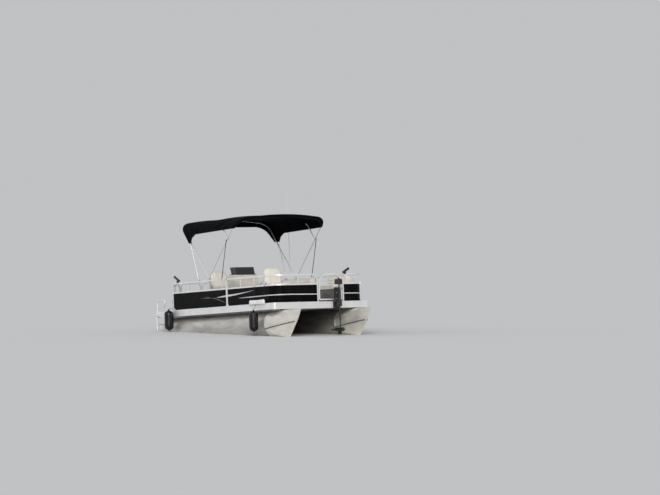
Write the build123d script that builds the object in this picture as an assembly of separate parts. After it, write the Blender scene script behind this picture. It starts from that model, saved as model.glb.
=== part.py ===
"""Pontoon boat: a 5.3 m fishing deck on two 610 mm tubes, with rails, folding top and outboard.

Frame: +X to the bow, +Y to port, +Z up. The origin is on the ground, under the middle of the deck.
All sizes are in millimetres. Each piece is written to parts/NODE.step.
"""
import os
from math import asin, atan2, cos, degrees, hypot, radians, sin, sqrt, tan

from build123d import *

# Overall
deck_length = 5320
deck_beam = 2500
deck_aft_x = -deck_length / 2
deck_fore_x = deck_length / 2

# Pontoons
tube_diameter = 610
tube_spacing = 1830
tube_aft_x = deck_aft_x + 20
tube_fore_x = deck_fore_x - 510
nose_length = 1150
nose_wedge_back = 900
keel_strip_height = 15
keel_strip_width = 24
keel_aft_gap = 60
keel_nose_run = 350
stem_rake_upper = 34
stem_rake_lower = 43
stem_knee_drop = 195
end_cap_rim = 14
end_cap_recess = 20
riser_height = 15
riser_half_gap = 80
riser_sheet = 5
riser_foot = 45
strake_width = 26
strake_thickness = 12
strake_aft = (2050, 200)
strake_fore = (3040, 346)

# Deck, with a notch at the stern for the outboard
notch_length = 460
notch_half_width = 420
beam_height = 120
beam_width = 60
beam_sheet = 4
beam_pitch = 610
deck_sheet = 25
band_sheet = 4
band_rib = 4
band_lip = 5
band_flange = 30
band_corner_radius = 70
band_ribs = ((0, 0.16), (0.36, 0.5), (0.8, 1))

# Motor pod between the tubes
pod_half_width = 300
pod_fore_x = deck_aft_x + 1160
pod_rise = 500
pod_aft_x = deck_aft_x - 120
pod_bottom_z = 110
pod_sheet = 12
transom_thickness = 40
transom_top_z = 560
well_floor_z = 330

# Fence
fence_tube = 32
fence_half_beam = deck_beam / 2 - 80
fence_aft_x = deck_aft_x + 540
fence_fore_x = deck_fore_x - 80
fence_corner_radius = 300
fence_end_radius = 80
fence_gate_radius = 160
fence_foot = 12
fence_foot_reach = 26
fence_height = 620
fence_mid_drop = 215
fence_joint_x = 420
fence_joint_gap = 6
post_tube = 22
aft_post_xs = (-1370, -900, -420)
bow_post_xs = (1040, 1670, fence_fore_x - 450)
bow_post_y = -560
stern_post_ys = (110, 600)
panel_sheet = 3
panel_gap = 0.3
panel_set_back = 6

# Gates, by the edges of their openings along Y
bow_gate_edges = (-42, 594)
stern_gate_edges = (-1000, -420)
gate_gap = 12
gate_lift = 35
gate_corner_radius = 190
gate_hinge_zs = (930, 1140)
hinge_barrel = 16
hinge_pin = 8
hinge_knuckle = 40
hinge_leaf = 4
hinge_reach = 30

# Folding top; corners are where a bow's leg and its crossbar would meet, as (x, z)
top_hinge_x = -420
top_strut_foot_x = -900
top_half_beam = fence_half_beam
bow_tube = 25
bow_gap = 6
strut_tube = 20
top_pin = 10
pin_clearance = 0.05
eye_diameter = 30
eye_width = 22
ear_sheet = 5
ear_width = 28
mount_plate = 8
mount_length = 90
hinge_rise = 22
front_corner = (960, 2740)
front_knuckle_x = 500
rear_knuckle = (-1200, 2250)
rear_corner = (-1650, 2750)
middle_corner = (90, 2760)
bow_corner_radius = 300
bow_crown = 190
bow_crown_radius = 4800
strap_foot_x = 220
strap_width = 30
strap_sheet = 2.4
strap_plate = (40, 28, 0.8)
canopy_sheet = 6
canopy_clearance = 0.3
canopy_overhang = 20
canopy_front_hem = 45
canopy_rear_mouth_z = 2680
canopy_rear_mouth_radius = 280
# How far inside the bow the rear mouth's sides stand, at the knuckle and at its top
canopy_rear_mouth_inset = (30, 170)
# Lower edge of the canopy's sides from bow to stern, as (x, z)
canopy_edge = ((820, 2550), (-950, 2505), (-1110, 2430), (-1190, 2310), (-1290, 2310), (-1520, 2545))

# Console at starboard
console_aft_x = 100
console_fore_x = 600
console_y = (-(fence_half_beam - 140), -430)
console_height = 715
console_dash_foot_z = 1130
console_dash_run = 90
console_dash_top_z = 1420
console_brow = 90
windshield_run = 240
windshield_height = 175
windshield_rake = 20
windshield_sheet = 5
windshield_inset = 15
windshield_corner = 60
wheel_diameter = 330
wheel_rim = 24
wheel_hub = 60
wheel_stand_off = 55
wheel_axle = 22
helm_y = -720
helm_z = 1290

# Seats, as (depth, width, height)
seat_pan = (440, 440, 22)
seat_cushion = (480, 470, 95)
seat_back = (90, 460, 390)
seat_back_lean = 8
seat_corner = 110
pedestal_post = 73
pedestal_foot = 240
pedestal_plate = 10
spindle = 20
seat_gap = 0.5
couch_seat_height = 400
couch_cushion = 110
couch_back_height = 200
couch_back_depth = 120

# Swivel seats, as (name, x, y, height of the swivel)
swivel_seats = (
    ("captain_seat", -500, -720, 1150),
    ("fishing_seat", 1700, -560, 1130),
)
couch_side_y = fence_half_beam - 40
# Couches, as (name, x0, x1, y0, y1, the side its back is on)
couches = (
    ("port", -650, 500, couch_side_y - 550, couch_side_y, "port"),
    ("bow", 1200, 2100, couch_side_y - 480, couch_side_y, "port"),
    ("stern", fence_aft_x + 60, fence_aft_x + 620, -330, couch_side_y - 20, "aft"),
)

# Boarding ladder and handrails
ladder_pivot = (deck_aft_x - 290, 750)
ladder_ys = (-(fence_half_beam + 6), -(fence_half_beam - 330))
ladder_tube = 32
ladder_foot_z = 120
ladder_steps = 4
ladder_step_depth = 60
ladder_arm_sheet = 10
ladder_arm_end = 30
ladder_pin = 12
handrail_tube = 30
handrail_foot_x = deck_aft_x + 62
handrail_top_xs = (deck_aft_x + 235, deck_aft_x - 200)
handrail_height = 262

# Outboard, upright, by (x, z); it is then tilted up about its pivot
motor_pivot = (pod_aft_x - 60, 600)
motor_tilt = 60
clamp_half_width = 100
clamp_arm = 12
clamp_gap = 0.3
tilt_tube = 26
swivel_x = motor_pivot[0] - 105
swivel_tube = 64
swivel_shaft = 36
motor_clearance = 0.05
gearcase_z = -170
gearcase_diameter = 100
propeller_diameter = 330
propeller_hub = 74
propeller_shaft = 20
propeller_gap = 0.5
cowl_bottom_z = 730
cowl_size = (440, 316, 460)
# Side view of the cowl's crown, as shares of its half length and of its height
cowl_crown = ((-1.1, -0.3), (-1.1, 0.55), (-0.6, 1), (0.5, 0.93), (1.05, 0.62), (1.05, -0.3))
cowl_crown_radius = 60
cowl_edge_radius = 20
# Stations of a propeller blade, as (share of its span, share of its chord, thickness, pitch angle)
blade_stations = ((0, 0.62, 9, 58), (0.45, 1, 6, 36), (0.8, 0.86, 4, 25), (1, 0.3, 2.4, 20))

# Bow trolling motor
trolling_x = deck_fore_x + 140
trolling_y = 380
trolling_shaft = 28
trolling_sleeve = 36
trolling_collar_size = 80
trolling_collar_gap = 0.5
trolling_ring = 48
trolling_ring_gap = 0.3
trolling_plate = 180
trolling_tower = (140, 1100)
trolling_unit_z = 150
trolling_head_z = 1165
trolling_propeller = 236
trolling_screw_shaft = 12
trolling_screw_length = 50
trolling_unit_aft = 190

# Antenna, rod holders, cleats, fenders
antenna_x = -800
antenna_y = fence_half_beam + 46
antenna_length = 1880
antenna_base_diameter = 14
antenna_tip_diameter = 5
rod_holder_bore = 44
rod_holder_wall = 4
rod_holder_length = 240
# Rod holders, as (x, side, lean from upright in degrees towards the bow); side 1 is port
rod_holder_places = ((-1900, -1, -65), (1760, 1, 72))
cleat_xs = (fence_aft_x + 70, fence_fore_x - 670)
cleat_length = 150
cleat_horn = 15
fender_diameter = 210
fender_length = 480
fender_gap = 0.3
fender_neck = 22
fender_tops_z = (800, 640)
fender_line = 8

# Levels and lines that follow from the sizes above
tube_radius = tube_diameter / 2
pontoon_z = keel_strip_height + tube_radius
tube_top_z = keel_strip_height + tube_diameter
nose_tip_x = tube_fore_x + nose_length
beam_z = tube_top_z + riser_height
panel_z = beam_z + beam_height
deck_z = panel_z + deck_sheet
band_top_z = deck_z + band_lip
notch_x = deck_aft_x + notch_length
half_tube = fence_tube / 2
fence_top_z = deck_z + fence_height
fence_mid_z = fence_top_z - fence_mid_drop
fence_low_z = deck_z + fence_foot + half_tube
rail_top_z = fence_top_z + half_tube
hinge = (top_hinge_x, rail_top_z + mount_plate + hinge_rise)
strut_foot = (top_strut_foot_x, hinge[1])
top_inner_beam = top_half_beam - bow_tube - bow_gap


def save(name, shape):
    """Write one node; a list of shapes becomes one file of separate solids."""
    solids = []
    for item in shape if isinstance(shape, (list, tuple)) else [shape]:
        solids += item.solids()
    export_step(solids[0] if len(solids) == 1 else Compound(children=solids), f"parts/{name}.step")


def block(x0, x1, y0, y1, z0, z1, radius=0):
    """A box between two corners, with its edges rounded where a radius is given."""
    size = (abs(x1 - x0), abs(y1 - y0), abs(z1 - z0))
    solid = Pos((x0 + x1) / 2, (y0 + y1) / 2, (z0 + z1) / 2) * Box(*size)
    return fillet(solid.edges(), radius) if radius else solid


def rod(start, end, diameter):
    """A round bar from one point to another."""
    run = Vector(*end) - Vector(*start)
    return Plane(Vector(*start), z_dir=run) * Pos(0, 0, run.length / 2) * Cylinder(diameter / 2, run.length)


def side_plate(points, y0, y1):
    """A plate cut to a side view, given as (x, z) points, between two values of Y."""
    face = Plane.XZ * make_face(Polyline(*points, close=True))
    return Pos(0, y1, 0) * extrude(face, amount=y1 - y0)


def both_sides(shape):
    """A piece and its copy on the other side of the boat."""
    return [shape, mirror(shape, about=Plane.XZ)]


def run_tube(points, radii, section):
    """Straight runs joined by tangent arcs, with one radius for each inner point."""
    points = [Vector(*p) for p in points]
    trims = [0.0]
    for before, here, after, radius in zip(points, points[1:], points[2:], radii):
        turn = radians((here - before).get_angle(after - here))
        trims.append(radius * tan(turn / 2))
    trims.append(0.0)
    pieces = []
    for i, (a, b) in enumerate(zip(points, points[1:])):
        way = (b - a).normalized()
        across = Vector(0, 0, 1) if abs(way.Z) < 0.7 else Vector(0, 1, 0)
        across = (across - way * across.dot(way)).normalized()
        length = (b - a).length - trims[i] - trims[i + 1]
        if length > 0.01:
            face = Plane(a + way * trims[i], x_dir=across, z_dir=way) * section
            pieces.append(extrude(face, amount=length, dir=way))
        if i < len(radii):
            onward = (points[i + 2] - b).normalized()
            normal = way.cross(onward).normalized()
            corner = b - way * trims[i + 1]
            face = Plane(corner, x_dir=across, z_dir=way) * section
            axis = Axis(corner + normal.cross(way).normalized() * radii[i], normal)
            pieces.append(revolve(face, axis, way.get_angle(onward)))
    solid = pieces[0]
    for piece in pieces[1:]:
        solid = solid + piece
    return solid


def square_tube(points, radii=(), size=fence_tube):
    return run_tube(points, radii, Rectangle(size, size))


def round_tube(points, radii, diameter):
    return run_tube(points, radii, Circle(diameter / 2))


# Hull


def nose_outline(grow, tip_x, z):
    """Plan of the nose at one height: two arcs from the tube's sides to the stem."""
    half = tube_radius + grow
    length = nose_length + grow
    radius = (length**2 + half**2) / (2 * half)
    half_turn = asin(length / radius) / 2
    shoulder = tip_x - length
    middle_x = shoulder + radius * sin(half_turn)
    middle_y = half - radius * (1 - cos(half_turn))
    back = shoulder - nose_wedge_back
    left = ThreePointArc((shoulder, half), (middle_x, middle_y), (tip_x, 0))
    right = ThreePointArc((tip_x, 0), (middle_x, -middle_y), (shoulder, -half))
    rest = Polyline((shoulder, -half), (back, -half), (back, half), (shoulder, half))
    return Pos(0, 0, z) * make_face([left, right, rest])


def nose(grow=0):
    """The pinched bow of a pontoon, centred on Y = 0: a round tube cut by two raked wedges."""
    length = nose_length + 60
    body = Pos(tube_fore_x + length / 2, 0, pontoon_z) * Rot(0, 90, 0) * Cylinder(tube_radius + grow, length)
    knee_z = tube_top_z - stem_knee_drop
    knee_x = nose_tip_x - stem_knee_drop * tan(radians(stem_rake_upper))
    reach = tube_diameter + 200
    for tip_x, z, rake in ((nose_tip_x, tube_top_z, stem_rake_upper), (knee_x, knee_z, stem_rake_lower)):
        shift = tan(radians(rake))
        low = nose_outline(grow, tip_x + grow - shift * reach, z - reach)
        body = body & extrude(low, amount=2 * reach / cos(radians(rake)), dir=(shift, 0, 1))
    return body


def pontoon():
    """A pontoon about Y = 0: tube, nose, keel strip, end cap and deck risers."""
    length = tube_fore_x - tube_aft_x
    tube = Pos(tube_aft_x + length / 2, 0, pontoon_z) * Rot(0, 90, 0) * Cylinder(tube_radius, length)
    recess = Cylinder(tube_radius - end_cap_rim, end_cap_recess)
    tube = tube - Pos(tube_aft_x + end_cap_recess / 2, 0, pontoon_z) * Rot(0, 90, 0) * recess
    aft = tube_aft_x + keel_aft_gap
    fore = tube_fore_x + keel_nose_run
    half = keel_strip_width / 2
    body = tube + nose() + block(aft, fore, -half, half, 0, keel_strip_height + 3)
    web_z = pontoon_z + sqrt(tube_radius**2 - (riser_half_gap + riser_sheet) ** 2) - 2
    for side in (-1, 1):
        inner = side * riser_half_gap
        body = body + block(aft, fore, inner, inner + side * riser_sheet, web_z, beam_z)
        body = body + block(aft, fore, inner, inner + side * riser_foot, beam_z - riser_sheet, beam_z)
    return body


def strakes():
    """Spray strakes on both flanks of a nose, about Y = 0."""
    dx = strake_fore[0] - strake_aft[0]
    dz = strake_fore[1] - strake_aft[1]
    plane = Plane((strake_aft[0], 0, strake_aft[1]), x_dir=(dx, 0, dz), z_dir=(-dz, 0, dx))
    slab = plane * Pos(hypot(dx, dz) / 2, 0, 0) * Box(hypot(dx, dz), tube_diameter + 200, strake_thickness)
    flanks = (slab & nose(strake_width)) - nose()
    return [s for s in flanks.solids() if s.volume > 20000]


# Deck


def deck_plan(grow):
    """Plan of the deck, grown outward on every side, with its stern notch."""
    outline = RectangleRounded(deck_length + 2 * grow, deck_beam + 2 * grow, band_corner_radius + grow)
    depth = 2 * notch_length
    centre_x = deck_aft_x - grow + notch_length - depth / 2
    notch = Pos(centre_x, 0) * Rectangle(depth, 2 * (notch_half_width - grow))
    return outline - notch


def band_ring(z0, z1, outside, inside):
    """One level of the band round the deck, between two outlines."""
    return Pos(0, 0, z0) * extrude(deck_plan(outside) - deck_plan(inside), amount=z1 - z0)


def deck_edge_band():
    """The extruded edge band: a channel with raised ribs and a lip over the deck's edge."""
    body = band_ring(beam_z, band_top_z, -band_rib, -band_rib - band_sheet)
    body = body + band_ring(deck_z, band_top_z, -band_rib, -band_rib - band_flange)
    height = band_top_z - beam_z
    for low, high in band_ribs:
        body = body + band_ring(beam_z + low * height, beam_z + high * height, 0, -band_rib - 1)
    return body


def deck_panel():
    return Pos(0, 0, panel_z) * extrude(deck_plan(-band_rib - band_sheet - 1), amount=deck_sheet)


def cross_members():
    """Hat-shaped cross members from side to side, cut short beside the stern notch."""
    reach = deck_beam / 2 - band_rib - band_sheet - 2
    count = int((deck_length - 300) / beam_pitch) + 1
    first = -(count - 1) * beam_pitch / 2
    half = beam_width / 2
    beams = []
    for i in range(count):
        x = first + i * beam_pitch
        spans = [(-reach, reach)]
        if x - half < notch_x + 20:
            inner = notch_half_width + band_rib + band_sheet + 2
            spans = [(-reach, -inner), (inner, reach)]
        for y0, y1 in spans:
            outer = block(x - half, x + half, y0, y1, beam_z, panel_z)
            wall = half - beam_sheet
            beams.append(outer - block(x - wall, x + wall, y0, y1, beam_z, panel_z - beam_sheet))
    return beams


def motor_pod():
    """A boat-shaped pod under the stern deck, with a thick transom plate and an open well."""
    lip_x = deck_aft_x + 20
    side = (
        (pod_fore_x, beam_z),
        (pod_fore_x - pod_rise, pod_bottom_z),
        (pod_aft_x, pod_bottom_z),
        (pod_aft_x, transom_top_z),
        (pod_aft_x + transom_thickness + 10, transom_top_z),
        (lip_x, transom_top_z + 20),
        (lip_x, beam_z),
    )
    body = side_plate(side, -pod_half_width, pod_half_width)
    inner = pod_half_width - pod_sheet
    return body - block(pod_aft_x + transom_thickness, notch_x, -inner, inner, well_floor_z, beam_z + 10)


# Fence and gates


def fence_frame(points, radii, posts, last_radius=fence_end_radius):
    """One section of the fence: a top rail bent down into end posts, two more rails, thin posts.

    points are the section's plan from end to end; posts are (x, y) of the thin posts.
    """
    foot_z = deck_z + fence_foot
    ends = [points[0], points[-1]]
    path = [(*ends[0], foot_z)] + [(*p, fence_top_z) for p in points] + [(*ends[1], foot_z)]
    body = square_tube(path, [fence_end_radius] + radii + [last_radius])
    for z in (fence_mid_z, fence_low_z):
        body = body + square_tube([(*p, z) for p in points], radii)
    half = post_tube / 2
    for x, y in posts:
        body = body + block(x - half, x + half, y - half, y + half, fence_low_z, fence_top_z)
    for x, y in ends + posts:
        along_y = abs(abs(y) - fence_half_beam) > 10 + half_tube
        reach_x = fence_foot_reach if along_y else half_tube
        reach_y = half_tube if along_y else fence_foot_reach
        body = body + block(x - reach_x, x + reach_x, y - reach_y, y + reach_y, deck_z, foot_z + 2)
    return body


def fence_panel(points, radii):
    """The sheet between a section's bottom and mid rails."""
    low = fence_low_z + half_tube + panel_gap
    high = fence_mid_z - half_tube - panel_gap
    return run_tube([(*p, (low + high) / 2) for p in points], radii, Rectangle(high - low, panel_sheet))


# The panels lie outside the rails' centre lines, near the outer faces
panel_shift = half_tube - panel_set_back - panel_sheet / 2
panel_inset = half_tube + panel_gap
side_post_y = fence_half_beam - half_tube + post_tube / 2
bow_post_x = fence_fore_x - half_tube + post_tube / 2

# Each gate's plane, the edges of its opening, its hinged side (port is 1) and which way the deck lies
bow_gate_place = (fence_fore_x, bow_gate_edges, 1, -1)
stern_gate_place = (fence_aft_x, stern_gate_edges, -1, 1)


def side_sections(side):
    """The aft and bow sections of one side, as (frame, panel); side is -1 for starboard."""
    joint = half_tube + fence_joint_gap / 2
    y = side * fence_half_beam
    aft = [(fence_aft_x, y), (fence_joint_x - joint, y)]
    gate_y = bow_gate_edges[0] - half_tube if side < 0 else bow_gate_edges[1] + half_tube
    bow = [(fence_joint_x + joint, y), (fence_fore_x, y), (fence_fore_x, gate_y)]
    panel_y = y + side * panel_shift
    panel_x = fence_fore_x + panel_shift
    aft_panel = [(aft[0][0] + panel_inset, panel_y), (aft[1][0] - panel_inset, panel_y)]
    panel_end = (panel_x, gate_y + side * panel_inset)
    bow_panel = [(bow[0][0] + panel_inset, panel_y), (panel_x, panel_y), panel_end]
    aft_posts = [(x, side * side_post_y) for x in aft_post_xs]
    bow_posts = [(x, side * side_post_y) for x in bow_post_xs]
    if side < 0:
        bow_posts.append((bow_post_x, bow_post_y))
    bow_frame = fence_frame(bow, [fence_corner_radius], bow_posts, fence_gate_radius)
    if side > 0:
        for knuckle in gate_hinges(*bow_gate_place)[0]:
            bow_frame = bow_frame + knuckle
    bow_sheet = fence_panel(bow_panel, [fence_corner_radius + panel_shift])
    return (fence_frame(aft, [], aft_posts), fence_panel(aft_panel, [])), (bow_frame, bow_sheet)


def stern_section():
    """The rail across the stern, on both sides of its gate, as (frames, panel)."""
    corner = fence_half_beam - half_tube - fence_foot_reach - 2
    wide = [(fence_aft_x, stern_gate_edges[1] + half_tube), (fence_aft_x, corner)]
    short = [(fence_aft_x, -corner), (fence_aft_x, stern_gate_edges[0] - half_tube)]
    post_x = fence_aft_x + half_tube - post_tube / 2
    posts = [(post_x, y) for y in stern_post_ys]
    panel_x = fence_aft_x - panel_shift
    panel = [(panel_x, wide[0][1] + panel_inset), (panel_x, wide[1][1] - panel_inset)]
    short_frame = fence_frame(short, [], [])
    for knuckle in gate_hinges(*stern_gate_place)[0]:
        short_frame = short_frame + knuckle
    return [fence_frame(wide, [], posts), short_frame], fence_panel(panel, [])


def hinge_line(x, edges, side, inward):
    """Where a gate's hinges stand, as (x, y): beside its port or starboard edge, on the deck's side."""
    edge = edges[1] if side > 0 else edges[0]
    return x + inward * (half_tube + hinge_barrel / 2), edge - side * gate_gap / 2


def gate_hinges(x, edges, side, inward):
    """The fixed knuckles with their pins, and the gate's own knuckles."""
    axis_x, axis_y = hinge_line(x, edges, side, inward)
    face_x = axis_x - inward * hinge_barrel / 2
    fixed, swinging = [], []
    for z in gate_hinge_zs:
        low = z - hinge_knuckle
        high = z + hinge_knuckle
        post = block(face_x, face_x + inward * hinge_leaf, axis_y, axis_y + side * hinge_reach, low, z)
        post = post + rod((axis_x, axis_y, low), (axis_x, axis_y, z), hinge_barrel)
        fixed.append(post + rod((axis_x, axis_y, z), (axis_x, axis_y, high), hinge_pin))
        base = z + seat_gap
        leaf = block(face_x, face_x + inward * hinge_leaf, axis_y, axis_y - side * hinge_reach, base, high)
        leaf = leaf + rod((axis_x, axis_y, base), (axis_x, axis_y, high), hinge_barrel)
        bore = rod((axis_x, axis_y, low), (axis_x, axis_y, high + 1), hinge_pin + 2 * pin_clearance)
        swinging.append(leaf - bore)
    return fixed, swinging


def gate(x, edges, corner, side, inward):
    """A gate in the plane X = x: a hoop, a sill, a mid rail and its halves of the hinges."""
    y0 = edges[0] + gate_gap + half_tube
    y1 = edges[1] - gate_gap - half_tube
    z0 = deck_z + gate_lift + half_tube
    path = [(x, y0, z0), (x, y0, fence_top_z), (x, y1, fence_top_z), (x, y1, z0)]
    hoop = square_tube(path, [corner, corner])
    for z in (z0, fence_mid_z):
        hoop = hoop + square_tube([(x, y0, z), (x, y1, z)])
    for leaf in gate_hinges(x, edges, side, inward)[1]:
        hoop = hoop + leaf
    return hoop


def gate_panel(x, edges):
    inset = gate_gap + fence_tube + panel_gap
    z0 = deck_z + gate_lift + fence_tube + panel_gap
    z1 = fence_mid_z - half_tube - panel_gap
    half = panel_sheet / 2
    return block(x - half, x + half, edges[0] + inset, edges[1] - inset, z0, z1)


# Folding top


def slope(start, end):
    """Unit direction from one (x, z) point to another."""
    dx, dz = end[0] - start[0], end[1] - start[1]
    length = hypot(dx, dz)
    return dx / length, dz / length


def bow_plane(foot, corner):
    """The plane of a bow: its first axis is +Y, its second runs up the leg from the foot."""
    dx, dz = slope(foot, corner)
    return Plane((foot[0], 0, foot[1]), x_dir=(0, 1, 0), z_dir=(dz, 0, -dx))


def bow_outline(foot, corner, half_beam, start=0, grow=0):
    """Points of a bow in its own plane, as (y, distance up the leg)."""
    rise = grow / slope(foot, corner)[1]
    height = hypot(corner[0] - foot[0], corner[1] - foot[1]) + rise
    half = half_beam + grow
    return [(-half, start), (-half, height), (0, height + bow_crown), (half, height), (half, start)]


def bow_hoop(foot, corner, half_beam):
    """A bow: both legs and the crowned crossbar, with an eye for the pin at each foot."""
    plane = bow_plane(foot, corner)
    points = [tuple(plane.from_local_coords(Vector(*p, 0))) for p in bow_outline(foot, corner, half_beam)]
    body = round_tube(points, [bow_corner_radius, bow_crown_radius, bow_corner_radius], bow_tube)
    for side in (-1, 1):
        body = body + eye(foot, side * half_beam)
    return body - pin_holes(foot)


def eye(point, y):
    half = eye_width / 2
    return rod((point[0], y - half, point[1]), (point[0], y + half, point[1]), eye_diameter)


def pin_holes(point):
    """Holes for the pins at a hinge point, through both sides of the boat."""
    reach = top_half_beam + 100
    return rod((point[0], -reach, point[1]), (point[0], reach, point[1]), top_pin + 2 * pin_clearance)


def pins(point, outer=top_half_beam + eye_width / 2 + 3):
    """A pin at each side, across the planes of both bows."""
    inner = top_inner_beam - eye_width / 2 - 3
    return [rod((point[0], s * inner, point[1]), (point[0], s * outer, point[1]), top_pin) for s in (-1, 1)]


front_slope = slope(hinge, front_corner)
front_knuckle_run = (front_knuckle_x - hinge[0]) / front_slope[0]
front_knuckle = (front_knuckle_x, hinge[1] + front_slope[1] * front_knuckle_run)
strap_y = fence_half_beam + half_tube + 1 + strap_sheet / 2


# Where the canopy's walls end before they are cut to the edge line, and the reach of its cutters
front_wall_z = 2440
rear_wall_z = 2290
mouth_reach = 80
side_cut = (-2300, 2000, 1800)


def front_bow():
    body = bow_hoop(hinge, front_corner, top_half_beam)
    for pin in pins(front_knuckle, strap_y + 4):
        body = body + pin
    return body


def rear_bow():
    """The rear bow, its straight lower legs down to the hinge and its knuckle pins."""
    body = bow_hoop(rear_knuckle, rear_corner, top_inner_beam)
    for side in (-1, 1):
        y = side * top_inner_beam
        body = body + rod((hinge[0], y, hinge[1]), (rear_knuckle[0], y, rear_knuckle[1]), bow_tube)
        body = body + eye(hinge, y)
    body = body - pin_holes(hinge)
    for pin in pins(rear_knuckle):
        body = body + pin
    return body


def rear_struts():
    struts = []
    for side in (-1, 1):
        y = side * top_half_beam
        strut = rod((strut_foot[0], y, strut_foot[1]), (rear_knuckle[0], y, rear_knuckle[1]), strut_tube)
        strut = strut + eye(strut_foot, y) + eye(rear_knuckle, y)
        struts.append(strut - pin_holes(strut_foot) - pin_holes(rear_knuckle))
    return struts


def top_mounts():
    """Deck-hinge fittings on the rails: plate, ear and pin for each, and the straps' anchor plates."""
    mounts = []
    ear_y = (top_half_beam + top_inner_beam) / 2
    plate_z = rail_top_z + mount_plate
    for side in (-1, 1):
        for x, z in (hinge, strut_foot):
            half = mount_length / 2
            inner = side * (top_inner_beam - eye_width / 2 - 4)
            outer = side * (fence_half_beam + half_tube)
            plate = block(x - half, x + half, inner, outer, rail_top_z, plate_z)
            near, far = side * ear_y - ear_sheet / 2, side * ear_y + ear_sheet / 2
            ear = block(x - ear_width / 2, x + ear_width / 2, near, far, rail_top_z, z)
            ear = ear + rod((x, near, z), (x, far, z), ear_width)
            pin = pins((x, z))[0 if side < 0 else 1]
            mounts.append(plate + ear + pin)
        face = side * (fence_half_beam + half_tube)
        x0, x1 = strap_foot_x - strap_plate[0] / 2, strap_foot_x + strap_plate[0] / 2
        z0, z1 = fence_top_z - strap_plate[1] / 2, fence_top_z + strap_plate[1] / 2
        mounts.append(block(x0, x1, face, face + side * strap_plate[2], z0, z1))
    return mounts


def front_straps():
    """Webbing from the front knuckles down to the rails."""
    foot = (strap_foot_x, fence_top_z)
    dx, dz = slope(front_knuckle, foot)
    start = (front_knuckle[0] + dx * (top_pin / 2 + 0.5), front_knuckle[1] + dz * (top_pin / 2 + 0.5))
    half = strap_width / 2
    corners = [
        (start[0] - dz * half, start[1] + dx * half),
        (foot[0] - dz * half, foot[1] + dx * half),
        (foot[0] + dz * half, foot[1] - dx * half),
        (start[0] + dz * half, start[1] - dx * half),
    ]
    return both_sides(side_plate(corners, strap_y - strap_sheet / 2, strap_y + strap_sheet / 2))


def canopy_loft(grow, drop, overhang):
    """A solid through the three bows' outlines, grown past the tubes and carried past the end bows."""
    sections = []
    for foot, corner, low_z in (
        (hinge, front_corner, front_wall_z),
        (front_knuckle, middle_corner, front_wall_z),
        (rear_knuckle, rear_corner, rear_wall_z),
    ):
        start = (low_z - drop - foot[1]) / slope(foot, corner)[1]
        outline = bow_outline(foot, corner, top_half_beam, start, grow)
        radii = [bow_corner_radius + grow, bow_crown_radius, bow_corner_radius + grow]
        face = make_face([FilletPolyline(*outline, radius=radii), Line(outline[-1], outline[0])])
        out_x, out_z = (0, 0) if corner == middle_corner else slope(middle_corner, corner)
        ends = [(x + out_x * overhang, z + out_z * overhang) for x, z in (foot, corner)]
        sections.append(bow_plane(*ends) * face)
    return loft(sections, ruled=True)


def canopy_mouth(foot, corner, outline, radii):
    """A cutter for the opening in an end wall, from an outline in the bow's own plane."""
    face = make_face([FilletPolyline(*outline, radius=radii), Line(outline[-1], outline[0])])
    return bow_plane(foot, corner) * Pos(0, 0, -mouth_reach) * extrude(face, amount=2 * mouth_reach)


def canopy():
    """The cloth top: one curved sheet over the bows, hemmed round the end bows, with a deep hem aft."""
    inside = bow_tube / 2 + canopy_clearance
    outer = canopy_loft(inside + canopy_sheet, 0, canopy_overhang + 1.4 * canopy_sheet)
    shell = outer - canopy_loft(inside, 60, canopy_overhang)
    hem = -canopy_front_hem
    fore = bow_outline(hinge, front_corner, top_half_beam, 0, hem)
    radii = [bow_corner_radius + hem, bow_crown_radius, bow_corner_radius + hem]
    shell = shell - canopy_mouth(hinge, front_corner, fore, radii)
    low, high = [top_half_beam - inset for inset in canopy_rear_mouth_inset]
    top = (canopy_rear_mouth_z - rear_knuckle[1]) / slope(rear_knuckle, rear_corner)[1]
    aft = [(-low, -mouth_reach), (-high, top), (high, top), (low, -mouth_reach)]
    shell = shell - canopy_mouth(rear_knuckle, rear_corner, aft, canopy_rear_mouth_radius)
    edge = [(side_cut[1], canopy_edge[0][1])] + list(canopy_edge) + [(side_cut[0], canopy_edge[-1][1] + 400)]
    cut = side_plate(edge + [(side_cut[0], side_cut[2]), (side_cut[1], side_cut[2])], -deck_beam, deck_beam)
    return shell - cut


# Console


def console():
    """The helm console: a hollow-looking moulding with a sloped dash and a boss for the wheel."""
    top_z = deck_z + console_height
    side = (
        (console_aft_x, deck_z + 60),
        (console_aft_x + 40, deck_z + 60),
        (console_aft_x + 40, deck_z),
        (console_fore_x, deck_z),
        (console_fore_x - 30, top_z - 60),
        (console_fore_x - console_brow, top_z),
        (console_aft_x + 170, top_z),
        (console_aft_x + console_dash_run, console_dash_top_z),
        (console_aft_x, console_dash_foot_z),
    )
    return side_plate(side, *console_y) + helm_boss()


helm_lean = degrees(atan2(console_dash_run, console_dash_top_z - console_dash_foot_z))
helm_share = (helm_z - console_dash_foot_z) / (console_dash_top_z - console_dash_foot_z)
helm_x = console_aft_x + console_dash_run * helm_share
# From the middle of the dash outwards along the wheel's axle
helm_frame = Pos(helm_x, helm_y, helm_z) * Rot(0, -90 + helm_lean, 0)


def helm_boss():
    boss = Pos(0, 0, wheel_stand_off / 4) * Cylinder(40, wheel_stand_off / 2 + 10)
    axle = Pos(0, 0, wheel_stand_off / 2) * Cylinder(wheel_axle / 2, wheel_stand_off)
    return helm_frame * (boss + axle)


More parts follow.
